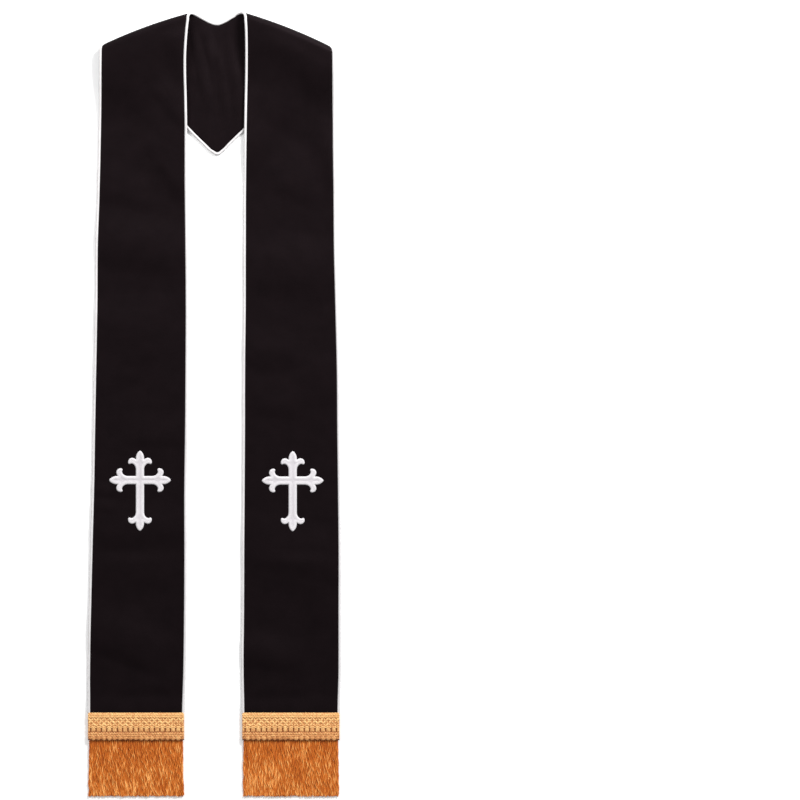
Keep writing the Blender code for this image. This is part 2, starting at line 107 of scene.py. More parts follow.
for lamp in LAMPS:
    lamp_data = bpy.data.lights.new(lamp.name, "AREA")
    lamp_data.shape = "DISK"
    lamp_data.size = lamp.size
    lamp_data.energy = lamp.power
    light = show(lamp.name, lamp_data)
    light.location = lamp.place
    aim = Vector(lamp.aim) - Vector(lamp.place)
    light.rotation_euler = aim.to_track_quat("-Z", "Y").to_euler()
    print(lamp.name, "gives", lamp.power, "W")

floor_mesh = bpy.data.meshes.new("floor")
floor_corners = [(-1, -1), (1, -1), (1, 1), (-1, 1)]
floor_points = [(x * FLOOR_HALF, y * FLOOR_HALF, 0.0) for x, y in floor_corners]
floor_mesh.from_pydata(floor_points, [], [(0, 1, 2, 3)])
show("floor", floor_mesh)

# %% [markdown]
# ## Helpers for node trees
#
# Materials and Geometry Nodes are both trees of nodes, and most of a tree is arithmetic. Two
# small classes keep it readable. A Value is what comes out of a node, and a plain sum or
# product of Values adds the Math node for it. A Board is the tree that they are on.

# %% Values that come out of nodes
class Value:
    """What comes out of a node. Arithmetic on it adds nodes to its board."""

    def __init__(self, board, socket):
        self.board = board
        self.socket = socket

    def math(self, operation, other=0.0):
        return self.board.out("ShaderNodeMath", 0, {0: self, 1: other}, operation=operation)

    def __add__(self, other):
        return self.math("ADD", other)

    def __sub__(self, other):
        return self.math("SUBTRACT", other)

    def __mul__(self, other):
        return self.math("MULTIPLY", other)

    def __truediv__(self, other):
        return self.math("DIVIDE", other)

    def wave(self):
        """A round thread for each whole number: 0 between two of them, 1 on top."""
        return (self * pi).math("SINE").math("ABSOLUTE")

    def spread(self, low, high, to_low=0.0, to_high=1.0):
        """The value stretched from one range to another."""
        ranges = {0: self, 1: low, 2: high, 3: to_low, 4: to_high}
        return self.board.out("ShaderNodeMapRange", 0, ranges)

    def between(self, first, second):
        """A number between two numbers, by this share."""
        return self.board.out("ShaderNodeMix", 0, {"Factor": self, 2: first, 3: second})

    def blend(self, first, second):
        """A colour between two colours, by this share."""
        colours = {"Factor": self, 6: first, 7: second}
        return self.board.out("ShaderNodeMix", 2, colours, data_type="RGBA")

    def vector(self, operation, inputs=None):
        """Vector arithmetic."""
        return self.board.out(
            "ShaderNodeVectorMath", 0, {0: self, **(inputs or {})}, operation=operation
        )

    def parts(self):
        """The X, Y and Z of a vector."""
        split = self.board.add("ShaderNodeSeparateXYZ", {0: self})
        return [Value(self.board, socket) for socket in split.outputs]


# %% Boards that hold nodes
class Board:
    """A node tree, with short ways to add nodes and to join them."""

    def __init__(self, tree):
        self.tree = tree

    def add(self, kind, inputs=None, **settings):
        node = self.tree.nodes.new(kind)
        for key, value in settings.items():
            setattr(node, key, value)
        for key, value in (inputs or {}).items():
            self.join(value, node.inputs[key])
        return node

    def out(self, kind, output, inputs=None, **settings):
        """One output of a new node."""
        return Value(self, self.add(kind, inputs, **settings).outputs[output])

    def join(self, value, socket):
        if isinstance(value, Value):
            self.tree.links.new(value.socket, socket)
        else:
            socket.default_value = value

    def cloudy(self, scale, detail, **inputs):
        """Soft random patches, from 0 to 1."""
        inputs.update(Scale=scale, Detail=detail)
        return self.out("ShaderNodeTexNoise", "Fac", inputs)

    def combine(self, **parts):
        """A vector from its X, Y and Z."""
        return self.out("ShaderNodeCombineXYZ", 0, parts)


def new_tree(name, family, inputs, outputs):
    """A tree with named sockets. Gives back its board, its inputs and its end."""
    tree = bpy.data.node_groups.new(name, family + "NodeTree")
    for way, sockets in (("INPUT", inputs), ("OUTPUT", outputs)):
        for label, kind, *usual in sockets:
            socket = tree.interface.new_socket(label, in_out=way, socket_type="NodeSocket" + kind)
            if usual:
                socket.default_value = usual[0]
    board = Board(tree)
    given = {socket.name: Value(board, socket) for socket in board.add("NodeGroupInput").outputs}
    return board, given, board.add("NodeGroupOutput").inputs


# %% Materials
def new_material(name, **constants):
    """A material with one Principled shader, whose constants are set on its own sockets."""
    material = bpy.data.materials.new(name)
    material.use_nodes = True
    shader = material.node_tree.nodes["Principled BSDF"].inputs
    for label, value in constants.items():
        shader[label.replace("_", " ")].default_value = value
    return material, Board(material.node_tree), shader


def dress(board, shader, colour, roughness, height, strength, depth):
    """Give a shader its colour, its roughness and small relief that only the light sees."""
    board.join(colour, shader["Base Color"])
    board.join(roughness, shader["Roughness"])
    relief = {"Height": height, "Strength": strength, "Distance": depth}
    board.join(board.out("ShaderNodeBump", "Normal", relief), shader["Normal"])


# %% [markdown]
# ## Weave, shared by every woven finish
#
# Cloth is warp and weft that pass over and under each other. The group below works this out
# from a piece's own UV map, which is in metres along and across the cloth, so the threads
# follow the cloth round its folds. It gives the height of the threads and a small difference
# of shade from one thread to the next. A picture of cloth could do it too, but waves that
# nodes work out stay sharp from close by, and show no seam where a picture would repeat.

# %% Weave group
weave, weave_in, weave_out = new_tree(
    "Weave",
    "Shader",
    [("Cloth place", "Vector"), ("Threads per metre", "Float", 1900.0)],
    [("Height", "Float"), ("Shade", "Float")],
)
weave_place = weave_in["Cloth place"].vector("SCALE", {"Scale": weave_in["Threads per metre"]})
weave_x, weave_y = weave_place.parts()[:2]
across_wave = (weave_x * pi).math("SINE")
along_wave = (weave_y * pi).math("SINE")
warp_on_top = (across_wave * along_wave).math("GREATER_THAN")
weave.join(
    warp_on_top.between(along_wave.math("ABSOLUTE"), across_wave.math("ABSOLUTE")),
    weave_out["Height"],
)
weave.join(
    weave.out("ShaderNodeTexWhiteNoise", "Value", {"Vector": weave_place.vector("FLOOR")}),
    weave_out["Shade"],
)


def woven(board, place, threads):
    """Height and shade of a weave on a material's board."""
    inputs = {"Cloth place": place, "Threads per metre": threads}
    group = board.add("ShaderNodeGroup", inputs, node_tree=weave.tree)
    return Value(board, group.outputs["Height"]), Value(board, group.outputs["Shade"])


# %% [markdown]
# ## Finishes
#
# The black cloth is a plain, slightly warm black with a faint sheen. It is never one flat
# colour: threads differ a little, and handling leaves soft paler patches. So noise mixes
# two blacks, and the shader's own Sheen stands for the short fibres on the surface.

# %% Black cloth finish
BLACK = (0.0023, 0.0013, 0.0016, 1.0)
BLACK_WORN = (0.0042, 0.0025, 0.0030, 1.0)
CLOTH_THREADS = 1900.0
# Patches have a scale and a detail. A range says from and to what a value is read, and what
# that becomes. Relief has a strength and a depth in metres.
CLOTH_PATCHES = (38.0, 4.0)
CLOTH_WEAR = (0.30, 0.72, 0.0, 0.7)
CLOTH_THREAD_SHADE = 0.3
CLOTH_ROUGHNESS = (0.2, 0.8, 0.60, 0.50)
CLOTH_RELIEF = (0.35, 0.00012)

cloth_finish, board, shader = new_material(
    "stole_black_cloth",
    Specular_IOR_Level=0.060,
    Specular_Tint=(1.0, 0.74, 0.82, 1.0),
    Sheen_Weight=0.008,
    Sheen_Roughness=0.45,
    Sheen_Tint=(1.0, 0.86, 0.90, 1.0),
)
place = board.out("ShaderNodeUVMap", "UV", uv_map="cloth")
threads, thread_shade = woven(board, place, CLOTH_THREADS)
patches = board.cloudy(*CLOTH_PATCHES, Vector=place)
worn = patches.spread(*CLOTH_WEAR) + thread_shade * CLOTH_THREAD_SHADE
dress(
    board, shader, worn.blend(BLACK, BLACK_WORN), patches.spread(*CLOTH_ROUGHNESS),
    threads, *CLOTH_RELIEF,
)

# %% [markdown]
# The piping is a cord inside a narrow strip of white cotton. Its weave is finer, and the strip
# wrinkles a little where it goes round the cord. The same weave group is used with a
# smaller pitch, and soft noise added to its height makes the wrinkles.

# %% White piping finish
PIPING_WHITE = (0.58, 0.565, 0.57, 1.0)
PIPING_SOILED = (0.52, 0.50, 0.50, 1.0)
PIPING_THREADS = 2600.0
PIPING_PATCHES = (160.0, 3.0)
PIPING_SOIL = (0.35, 0.75)
PIPING_ROUGHNESS = (0.2, 0.8, 0.55, 0.70)
PIPING_WRINKLES = 3.0
PIPING_RELIEF = (0.4, 0.00010)

piping_finish, board, shader = new_material(
    "stole_white_piping", Specular_IOR_Level=0.3, Sheen_Weight=0.1
)
place = board.out("ShaderNodeUVMap", "UV", uv_map="cord")
threads, thread_shade = woven(board, place, PIPING_THREADS)
patches = board.cloudy(*PIPING_PATCHES, Vector=place)
dress(
    board, shader, patches.spread(*PIPING_SOIL).blend(PIPING_WHITE, PIPING_SOILED),
    patches.spread(*PIPING_ROUGHNESS), threads + patches * PIPING_WRINKLES, *PIPING_RELIEF,
)

# %% [markdown]
# Satin stitch is a bed of smooth threads laid side by side. Light slides along them, so the
# relief of the single threads matters more than their colour. Their place along the outline
# is in the UV map of the embroidery: X is how far in from the edge, Y how far along it.

# %% White satin stitch finish
STITCH_PITCH = 0.00055
STITCH_SLANT = 0.45
THREAD_WHITE = (0.60, 0.58, 0.595, 1.0)
THREAD_PAINTED_SHADE = (0.37, 0.335, 0.37, 1.0)
THREAD_GROOVE_SHADE = (0.0, 0.45, 0.55, 0.0)
THREAD_DIP_SHADE = (0.0028, 0.0060, 0.0, 0.30)
THREAD_OWN = 0.16
THREAD_ROUGHNESS = (0.0, 1.0, 0.34, 0.50)
THREAD_RELIEF = (0.6, 0.00016)

thread_finish, board, shader = new_material(
    "stole_satin_thread", Specular_IOR_Level=0.45, Sheen_Weight=0.05
)
inward, onward = board.out("ShaderNodeUVMap", "UV", uv_map="stitch").parts()[:2]
count = (onward + inward * STITCH_SLANT) / STITCH_PITCH
thread_round = count.wave()
thread_own = board.out(
    "ShaderNodeTexWhiteNoise", "Value", {"W": count.math("FLOOR")}, noise_dimensions="1D"
)
# Painted shade: the white turns grey in the grooves between threads and towards the middle of
# each bar, where the stitches dip. Each thread's own random tone is added to it.
groove = thread_round.spread(*THREAD_GROOVE_SHADE)
dark = groove + inward.spread(*THREAD_DIP_SHADE) + thread_own * THREAD_OWN
dress(
    board, shader, dark.blend(THREAD_WHITE, THREAD_PAINTED_SHADE), thread_own.spread(*THREAD_ROUGHNESS),
    thread_round, *THREAD_RELIEF,
)

# %% [markdown]
# Gold braid and gold fringe are rayon: they shine softly, and hold deep orange shadows between
# their yarns. Both finishes share one group, which draws the twist of a yarn and its uneven
# colour. That colour also carries painted shade: its darker end is painted where yarns shade
# each other, as each piece's own value says. The braid is the paler, yellower of the two.

# %% Yarn group
YARN_SLANT = 0.8
YARN_PATCHES = (260.0, 3.0)
YARN_PATCH_LIGHT = (0.30, 0.72, 0.0, 0.60)
YARN_CLUMPS = (62.0, 1.0)
YARN_CLUMP_LIGHT = (0.3, 0.7, -1.0, 1.0)
YARN_OWN = 0.65
YARN_LOWER = (0.15, 0.60)
YARN_UPPER = (0.60, 1.10)

yarn, yarn_in, yarn_out = new_tree(
    "Twisted yarn",
    "Shader",
    [
        ("Place", "Vector"),
        ("Own", "Float", 0.5),
        ("Twists per metre", "Float", 900.0),
        ("Clumps", "Float", 0.0),
        ("Dark", "Color", (0.3, 0.1, 0.01, 1.0)),
        ("Middle", "Color", (0.6, 0.2, 0.04, 1.0)),
        ("Light", "Color", (0.9, 0.5, 0.2, 1.0)),
    ],
    [("Colour", "Color"), ("Height", "Float")],
)
yarn_x, yarn_y = yarn_in["Place"].parts()[:2]
yarn_twist = ((yarn_y + yarn_x * YARN_SLANT) * yarn_in["Twists per metre"]).wave()
yarn_patches = yarn.cloudy(*YARN_PATCHES, Vector=yarn_in["Place"])
yarn_clumps = yarn.cloudy(*YARN_CLUMPS, Vector=yarn_in["Place"])
# The Own value brings painted shade into the colour: the braid's sleeve is dark where its yarns
# shade it, and the fringe is darker in its lower layers and at its roots. It also carries each
# yarn's random tone.
yarn_level = (
    yarn_clumps.spread(*YARN_CLUMP_LIGHT) * yarn_in["Clumps"]
    + yarn_in["Own"] * YARN_OWN
    + yarn_patches.spread(*YARN_PATCH_LIGHT)
)
yarn_lower = yarn_level.spread(*YARN_LOWER).blend(yarn_in["Dark"], yarn_in["Middle"])
yarn_colour = yarn_level.spread(*YARN_UPPER).blend(yarn_lower, yarn_in["Light"])
yarn.join(yarn_colour, yarn_out["Colour"])
yarn.join(yarn_twist, yarn_out["Height"])

# %% Gold finishes
GOLD_RELIEF = (0.4, 0.00010)
GOLD_DULLER = 0.06


def gold_finish(name, stretch, clumps, twists, dark, middle, light, roughness):
    """A gold yarn finish, coloured by each point's own value (random tone and painted shade) and
    by stretched patches.
    """
    material, board, shader = new_material(name, Specular_IOR_Level=0.3, Sheen_Weight=0.04)
    own = board.out("ShaderNodeAttribute", "Fac", attribute_name="own")
    place = board.out("ShaderNodeTexCoord", "Object").vector("MULTIPLY", {1: stretch})
    inputs = {
        "Place": place, "Own": own, "Clumps": clumps, "Twists per metre": twists,
        "Dark": (*dark, 1.0), "Middle": (*middle, 1.0), "Light": (*light, 1.0),
    }
    group = board.add("ShaderNodeGroup", inputs, node_tree=yarn.tree)
    dress(
        board, shader, Value(board, group.outputs["Colour"]),
        own.spread(0.0, 1.0, roughness + GOLD_DULLER, roughness),
        Value(board, group.outputs["Height"]), *GOLD_RELIEF,
    )
    return material


braid_finish = gold_finish(
    "stole_gold_braid", stretch=(2.3, 2.3, 2.3), clumps=0.06, twists=565.0,
    dark=(0.16, 0.040, 0.005), middle=(0.54, 0.220, 0.070), light=(0.80, 0.50, 0.20),
    roughness=0.46,
)
fringe_finish = gold_finish(
    "stole_gold_fringe", stretch=(1.8, 0.36, 1.0), clumps=0.17, twists=1600.0,
    dark=(0.38, 0.076, 0.003), middle=(0.58, 0.156, 0.014), light=(1.00, 0.54, 0.17),
    roughness=0.42,
)
print("finishes:", ", ".join(m.name for m in bpy.data.materials if m.use_nodes))

# %% [markdown]
# The floor is matt paper, plain and pale. One flat colour would look like an empty picture,
# so it has the faintest mottling.

# %% Floor finish
FLOOR_COLOUR = (0.945, 0.945, 0.945, 1.0)
FLOOR_MOTTLE = (0.965, 0.965, 0.965, 1.0)
FLOOR_PATCHES = (30.0, 2.0)

paper, board, shader = new_material("pale_paper", Roughness=0.9)
place = board.out("ShaderNodeTexCoord", "Object")
mottling = board.cloudy(*FLOOR_PATCHES, Vector=place)
board.join(mottling.blend(FLOOR_COLOUR, FLOOR_MOTTLE), shader["Base Color"])
floor_mesh.materials.append(paper)

# %% [markdown]
# ## The shape of the cloth
#
# Each half is one strip. It runs from the hem up the front, turns over the shoulder in a soft
# loop, and goes down behind at a slant to the centre back seam. The same measures shape the
# solid; here they are read along smooth curves with many more rows, so the cloth bends
# without corners.
#
# A cloth simulation could drape such a strip. A stole that is laid flat by hand keeps the
# shape that it was cut and pressed to, though, and rows of measures give exactly that.

# %% Measures of the cloth
WALL = 0.0024
SEAM_GAP = 0.0003
PIPING_R = 0.0019
PIPING_TURN = 0.0030
PIPING_CLEAR = 0.0001
SEAM_X = 0.0042

OVER_PIPING = 0.0043
OVER_CLOTH = 0.0028
OVER_EDGE_REACH = 0.015
OVER_CLOTH_RAMP = 0.022
OVER_FLOOR_RAMP = 0.050
LOOP_PUFF = 0.0009
LOOP_LATENESS = 1.25

BRAID_TOP = -0.4634
BRAID_HEIGHT = 0.0412
HEM_INSIDE = 0.0345
HEM_LIFT = 0.0015
HEM_RAMP = 0.030
BRAID_CLEAR = 0.003
FRINGE_END = -0.5894
SHOULDER_SPAN = (0.450, 0.590)
TILT_FROM = 0.200

# One row for each section of a front: its height on the stole and its two edges
FrontRow = namedtuple("FrontRow", "y outer inner")
LEFT_FRONT = [
    FrontRow(-0.520, -0.1862, -0.0492),
    FrontRow(-0.457, -0.1864, -0.0488),
    FrontRow(-0.400, -0.1866, -0.0471),
    FrontRow(-0.310, -0.1850, -0.0459),
    FrontRow(-0.220, -0.1829, -0.0455),
    FrontRow(-0.130, -0.1805, -0.0456),
    FrontRow(-0.040, -0.1790, -0.0444),
    FrontRow(0.050, -0.1773, -0.0438),
    FrontRow(0.140, -0.1756, -0.0434),
    FrontRow(0.230, -0.1750, -0.0439),
    FrontRow(0.320, -0.1722, -0.0448),
    FrontRow(0.425, -0.1700, -0.0448),
    FrontRow(0.515, -0.1687, -0.0462),
    FrontRow(0.560, -0.1680, -0.0435),
    FrontRow(0.590, -0.1676, -0.0395),
]
RIGHT_FRONT = [
    FrontRow(-0.520, 0.1838, 0.0450),
    FrontRow(-0.457, 0.1842, 0.0447),
    FrontRow(-0.400, 0.1856, 0.0437),
    FrontRow(-0.310, 0.1856, 0.0443),
    FrontRow(-0.220, 0.1858, 0.0447),
    FrontRow(-0.130, 0.1849, 0.0452),
    FrontRow(-0.040, 0.1838, 0.0457),
    FrontRow(0.050, 0.1831, 0.0459),
    FrontRow(0.140, 0.1810, 0.0468),
    FrontRow(0.230, 0.1788, 0.0470),
    FrontRow(0.320, 0.1781, 0.0472),
    FrontRow(0.425, 0.1771, 0.0486),
    FrontRow(0.515, 0.1768, 0.0502),
    FrontRow(0.560, 0.1760, 0.0500),
    FrontRow(0.590, 0.1752, 0.0478),
]

# One row for each section of the back: a point of its lower edge and one of the neck edge
BackRow = namedtuple("BackRow", "lower_x lower_y neck_x neck_y")
LEFT_BACK = [
    BackRow(-0.1410, 0.5240, -0.0240, 0.5787),
    BackRow(-0.1200, 0.5027, -0.0207, 0.5768),
    BackRow(-0.0980, 0.4796, -0.0174, 0.5749),
    BackRow(-0.0760, 0.4562, -0.0141, 0.5731),
    BackRow(-0.0560, 0.4342, -0.0110, 0.5714),
    BackRow(-0.0407, 0.4172, -0.0080, 0.5700),
    BackRow(-0.0270, 0.4029, -0.0050, 0.5688),
    BackRow(-0.0140, 0.3903, -0.0021, 0.5679),
    BackRow(-0.0044, 0.3812, 0.0008, 0.5673),
    BackRow(SEAM_X, 0.3768, SEAM_X, 0.5670),
]
RIGHT_BACK = [
    BackRow(0.1400, 0.5195, 0.0309, 0.5795),
    BackRow(0.1244, 0.5048, 0.0274, 0.5775),
    BackRow(0.1094, 0.4875, 0.0241, 0.5755),
    BackRow(0.0869, 0.4614, 0.0209, 0.5735),
    BackRow(0.0644, 0.4350, 0.0177, 0.5717),
    BackRow(0.0464, 0.4160, 0.0148, 0.5702),
    BackRow(0.0335, 0.4035, 0.0119, 0.5689),
    BackRow(0.0212, 0.3915, 0.0093, 0.5680),
    BackRow(0.0122, 0.3821, 0.0067, 0.5673),
    BackRow(SEAM_X, 0.3768, SEAM_X, 0.5670),
]

Half = namedtuple(
    "Half", "name side corner neck corner_r neck_r bulge lower_e neck_e fall front back"
)
HALVES = [
    Half("left", -1, (-0.1674, 0.5379), (-0.0389, 0.5850), 0.0060, 0.0070, 0.0030,
         0.0095, 0.1462, 0.112, LEFT_FRONT, LEFT_BACK),
    Half("right", 1, (0.1746, 0.5349), (0.0464, 0.5855), 0.0083, 0.0075, 0.0030,
         0.0158, 0.1492, 0.094, RIGHT_FRONT, RIGHT_BACK),
]

# %% [markdown]
# ### Folds and creases
#
# The cloth lifts off the floor in a few large swells. They lie where the solid has its own,
# and their sizes were then set against the photograph. Each is a smooth bump that is
# exactly 0 outside its own ellipse.
#
# The creases on top of them are given one by one. Each has a crest line. From the crest the
# cloth falls gently on the side that faces the lamp, and more steeply on the dark side. They
# could be sculpted, but in a list of measures each one can be moved or lowered by itself.

# %% Swells and creases
Swell = namedtuple("Swell", "x y length width angle height")
FRONT_SWELLS = [
    Swell(-0.062, 0.450, 0.075, 0.036, -52, 0.0008),
    Swell(-0.074, 0.354, 0.080, 0.036, -52, 0.0018),
    Swell(-0.110, 0.240, 0.105, 0.050, -12, 0.0028),
    Swell(-0.115, 0.100, 0.095, 0.050, -6, 0.0022),
    Swell(-0.118, -0.244, 0.100, 0.046, -6, 0.0014),
    Swell(-0.130, -0.340, 0.085, 0.042, -24, 0.0024),
    Swell(0.110, 0.455, 0.110, 0.044, -48, 0.0018),
    Swell(0.115, 0.212, 0.100, 0.050, -5, 0.0022),
    Swell(0.085, 0.080, 0.070, 0.040, -10, 0.0018),
    Swell(0.115, -0.244, 0.100, 0.048, -9, 0.0020),
    Swell(0.085, -0.376, 0.075, 0.042, -14, 0.0022),
]
BACK_SWELLS = [
    Swell(-0.016, 0.500, 0.060, 0.012, 78, 0.0010),
    Swell(0.026, 0.505, 0.060, 0.013, 98, 0.0012),
]

# A crest runs from one place to another, left to right. Its dark side lies below it.
Crease = namedtuple("Crease", "x0 y0 x1 y1 bright dark height")
FRONT_CREASES = [
    Crease(-0.0620, 0.5640, -0.0400, 0.4700, 0.030, 0.022, 0.0026),
    Crease(-0.0830, 0.4740, -0.0430, 0.4200, 0.070, 0.018, 0.0024),
    Crease(-0.0960, 0.4020, -0.0440, 0.3160, 0.055, 0.022, 0.0022),
    Crease(-0.1750, 0.3270, -0.0950, 0.3050, 0.045, 0.026, 0.0013),
    Crease(-0.1850, 0.2360, -0.0420, 0.2100, 0.075, 0.036, 0.0016),
    Crease(-0.1850, 0.1300, -0.0600, 0.1370, 0.035, 0.050, 0.0016),
    Crease(-0.1850, 0.0300, -0.0900, 0.0650, 0.060, 0.030, 0.0012),
    Crease(-0.1270, -0.0510, -0.0430, -0.0480, 0.040, 0.020, 0.0013),
    Crease(-0.1850, -0.1290, -0.1500, -0.1320, 0.016, 0.012, 0.0008),
    Crease(-0.1850, -0.1530, -0.1500, -0.1570, 0.016, 0.012, 0.0008),
    Crease(-0.1850, -0.1920, -0.0430, -0.1900, 0.050, 0.032, 0.0018),
    Crease(-0.1880, -0.3500, -0.0800, -0.3910, 0.050, 0.024, 0.0028),
    Crease(-0.1400, -0.4250, -0.0480, -0.4180, 0.030, 0.018, 0.0009),
    Crease(0.0900, 0.5530, 0.1560, 0.4850, 0.040, 0.032, 0.0014),
    Crease(0.1560, 0.4900, 0.1780, 0.3400, 0.030, 0.030, 0.0028),
    Crease(0.0480, 0.3850, 0.1300, 0.3350, 0.050, 0.050, 0.0018),
    Crease(0.1740, 0.3980, 0.1760, 0.3300, 0.020, 0.020, 0.0009),
    Crease(0.1010, 0.3330, 0.1600, 0.3060, 0.045, 0.024, 0.0012),
    Crease(0.0480, 0.1900, 0.1780, 0.1770, 0.080, 0.032, 0.0017),
    Crease(0.0480, 0.0720, 0.0930, 0.0610, 0.035, 0.018, 0.0004),
    Crease(0.1250, 0.0400, 0.1800, 0.0350, 0.045, 0.050, 0.0014),
    Crease(0.0480, 0.0010, 0.1300, -0.0060, 0.050, 0.022, 0.0013),
    Crease(0.0450, -0.2120, 0.1850, -0.2400, 0.060, 0.036, 0.0026),
    Crease(0.1540, -0.2560, 0.1640, -0.3300, 0.030, 0.040, 0.0013),
    Crease(0.0450, -0.3770, 0.1080, -0.3850, 0.040, 0.020, 0.0017),
    Crease(0.0600, -0.4280, 0.1300, -0.4250, 0.030, 0.018, 0.0009),
]
BACK_CREASES = [
    Crease(-0.0180, 0.5660, -0.0020, 0.5080, 0.016, 0.009, 0.0017),
    Crease(-0.0310, 0.5550, -0.0110, 0.4500, 0.014, 0.009, 0.0013),
    Crease(0.0080, 0.5200, 0.0160, 0.4300, 0.014, 0.009, 0.0012),
    Crease(0.0260, 0.5100, 0.0370, 0.4250, 0.014, 0.010, 0.0009),
]
CREASE_FADE = 0.25
RIPPLE_HEIGHT = 0.00022
RIPPLE_SIZE = 0.030
RIPPLE_FINER = 2.3
RIPPLE_FINE_SHARE = 0.5


# %% Heights of swells and creases
def clamp(t):
    """The nearest value from 0 to 1."""
    return min(max(t, 0.0), 1.0)


def ease(t):
    """A soft step from 0 to 1."""
    t = clamp(t)
    return t * t * (3.0 - 2.0 * t)


def mix(a, b, t):
    """A value between two others."""
    return a + (b - a) * t


def arch(height, share):
    """A low arch: 0 at both ends and its full height in the middle."""
    return height * 4.0 * share * (1.0 - share)


def swell_height(swells, x, y):
    """Height of the large swells at a place on the cloth."""
    total = 0.0
    for swell in swells:
        dx = x - swell.x
        dy = y - swell.y
        turn = radians(swell.angle)
        along = (dx * cos(turn) + dy * sin(turn)) / swell.length
        across = (dy * cos(turn) - dx * sin(turn)) / swell.width
        reach = along ** 2 + across ** 2
        if reach < 1.0:
            total += swell.height * (1.0 - reach) ** 2
    return total


def crease_height(creases, x, y):
    """Height of the creases: a crest with a gentle bright side and a steeper dark side."""
    total = 0.0
    for crease in creases:
        run_x = crease.x1 - crease.x0
        run_y = crease.y1 - crease.y0
        length = hypot(run_x, run_y)
        along = ((x - crease.x0) * run_x + (y - crease.y0) * run_y) / length ** 2
        if not -CREASE_FADE < along < 1.0 + CREASE_FADE:
            continue
        side = ((y - crease.y0) * run_x - (x - crease.x0) * run_y) / length
        reach = side / crease.bright if side > 0.0 else -side / crease.dark
        if reach < 1.0:
            ends = ease((along + CREASE_FADE) / (2 * CREASE_FADE))
            ends *= ease((1.0 + CREASE_FADE - along) / (2 * CREASE_FADE))
            total += crease.height * ends * (1.0 - reach * reach) ** 2
    return total


def ripple(x, y):
    """The slight unevenness of cloth that has been handled."""
    place = Vector((x / RIPPLE_SIZE, y / RIPPLE_SIZE, 0.0))
    fine = RIPPLE_FINE_SHARE * noise.noise(place * RIPPLE_FINER)
    return RIPPLE_HEIGHT * (noise.noise(place) + fine)


# %% [markdown]
# ### Crosses on the cloth
#
# The embroidery holds the cloth flat, so the large swells die away round each cross.

# %% Where the crosses lie
CROSS_BAR = 0.0062
CROSS_FLAT = 0.0245
Cross = namedtuple("Cross", "name x y")
CROSSES = [Cross("left_cross", -0.1118, -0.1148), Cross("right_cross", 0.1172, -0.1155)]
CrossEnd = namedtuple("CrossEnd", "reach turn")
CROSS_ENDS = [
    CrossEnd(0.0463, 0),
    CrossEnd(0.0443, 90),
    CrossEnd(0.0463, 180),
    CrossEnd(0.0762, 270),
]


def cross_clearance(x, y):
    """0 on and round the crosses, where the cloth is held flat by the stitches, else 1."""
    share = 1.0
    for cross in CROSSES:
        right, top, left, bottom = (end.reach for end in CROSS_ENDS)
        beside = max(x - cross.x - right, cross.x - left - x, 0.0)
        beyond = max(y - cross.y - top, cross.y - bottom - y, 0.0)
        share = min(share, ease((hypot(beside, beyond) - CROSS_FLAT) / CROSS_FLAT))
    return share


# %% [markdown]
# ### The fold at the shoulder
#
# A place near the shoulder is easier to say along the fold and away from it than in x and y.
# The Fold class turns one into the other, and knows how round the loop is at each place.

# %% The fold
def smooth_value(rows, key, value, at):
    """Read a column of a table between its rows, along a smooth curve."""
    keys = [getattr(row, key) for row in rows]
    values = [getattr(row, value) for row in rows]
    i = max(k for k in range(len(keys) - 1) if k == 0 or keys[k] <= at)
    before = max(i - 1, 0)
    after = min(i + 2, len(keys) - 1)
    span = keys[i + 1] - keys[i]
    slope_a = (values[i + 1] - values[before]) / (keys[i + 1] - keys[before]) * span
    slope_b = (values[after] - values[i]) / (keys[after] - keys[i]) * span
    t = (at - keys[i]) / span
    return (
        (2 * t ** 3 - 3 * t ** 2 + 1) * values[i]
        + (t ** 3 - 2 * t ** 2 + t) * slope_a
        + (3 * t ** 2 - 2 * t ** 3) * values[i + 1]
        + (t ** 3 - t ** 2) * slope_b
    )


class Fold:
    """The shoulder fold of a half: places along it (e) and away from it towards the hem (d)."""

    def __init__(self, half):
        self.half = half
        self.corner = Vector(half.corner)
        run = Vector(half.neck) - self.corner
        self.length = run.length
        self.along = run.normalized()
        self.away = Vector((self.along.y * -half.side, -abs(self.along.x)))

    def split(self, x, y):
        offset = Vector((x, y)) - self.corner
        return offset.dot(self.along), offset.dot(self.away)

    def point(self, e, d):
        flat = self.corner + self.along * e + self.away * d
        return flat.x, flat.y

    def share(self, e):
        return clamp(e / self.length)

    def radius(self, e):
        share = self.share(e)
        return mix(self.half.corner_r, self.half.neck_r, share) + arch(LOOP_PUFF, share)

    def turn_d(self, e):
        """How far from the silhouette the loop's centre is."""
        return self.radius(e) + WALL / 2 - arch(self.half.bulge, self.share(e))


# %% Edges near the fold
HALVINGS = 40


def edge_crossing(half, fold, column):
    """The place where a front's edge reaches the top of the shoulder loop."""
    low, high = SHOULDER_SPAN
    for step in range(HALVINGS):
        y = (low + high) / 2
        e, d = fold.split(smooth_value(half.front, "y", column, y), y)
        if d > fold.turn_d(e):
            low = y
        else:
            high = y
    return smooth_value(half.front, "y", column, low), low


def outside_back(half, x, y):
    """How far a place lies beyond the piping of the back's lower edge, below 0 on the back."""
    edge = [Vector((row.lower_x, row.lower_y)) for row in half.back]
    start = Vector(half.corner)
    point = Vector((x, y))
    best = None
    for a, b in zip([start] + edge[:-1], edge):
        run = b - a
        t = clamp((point - a).dot(run) / run.length_squared)
        near = a + run * t
        distance = (point - near).length
        if best is None or distance < best[0]:
            cross = (run.x * (point - a).y - run.y * (point - a).x) * -half.side
            best = (distance, cross)
    return -best[0] if best[1] > 0.0 else best[0]


# %% Underside of a front
CREASE_NEAR_LOOP = 0.022


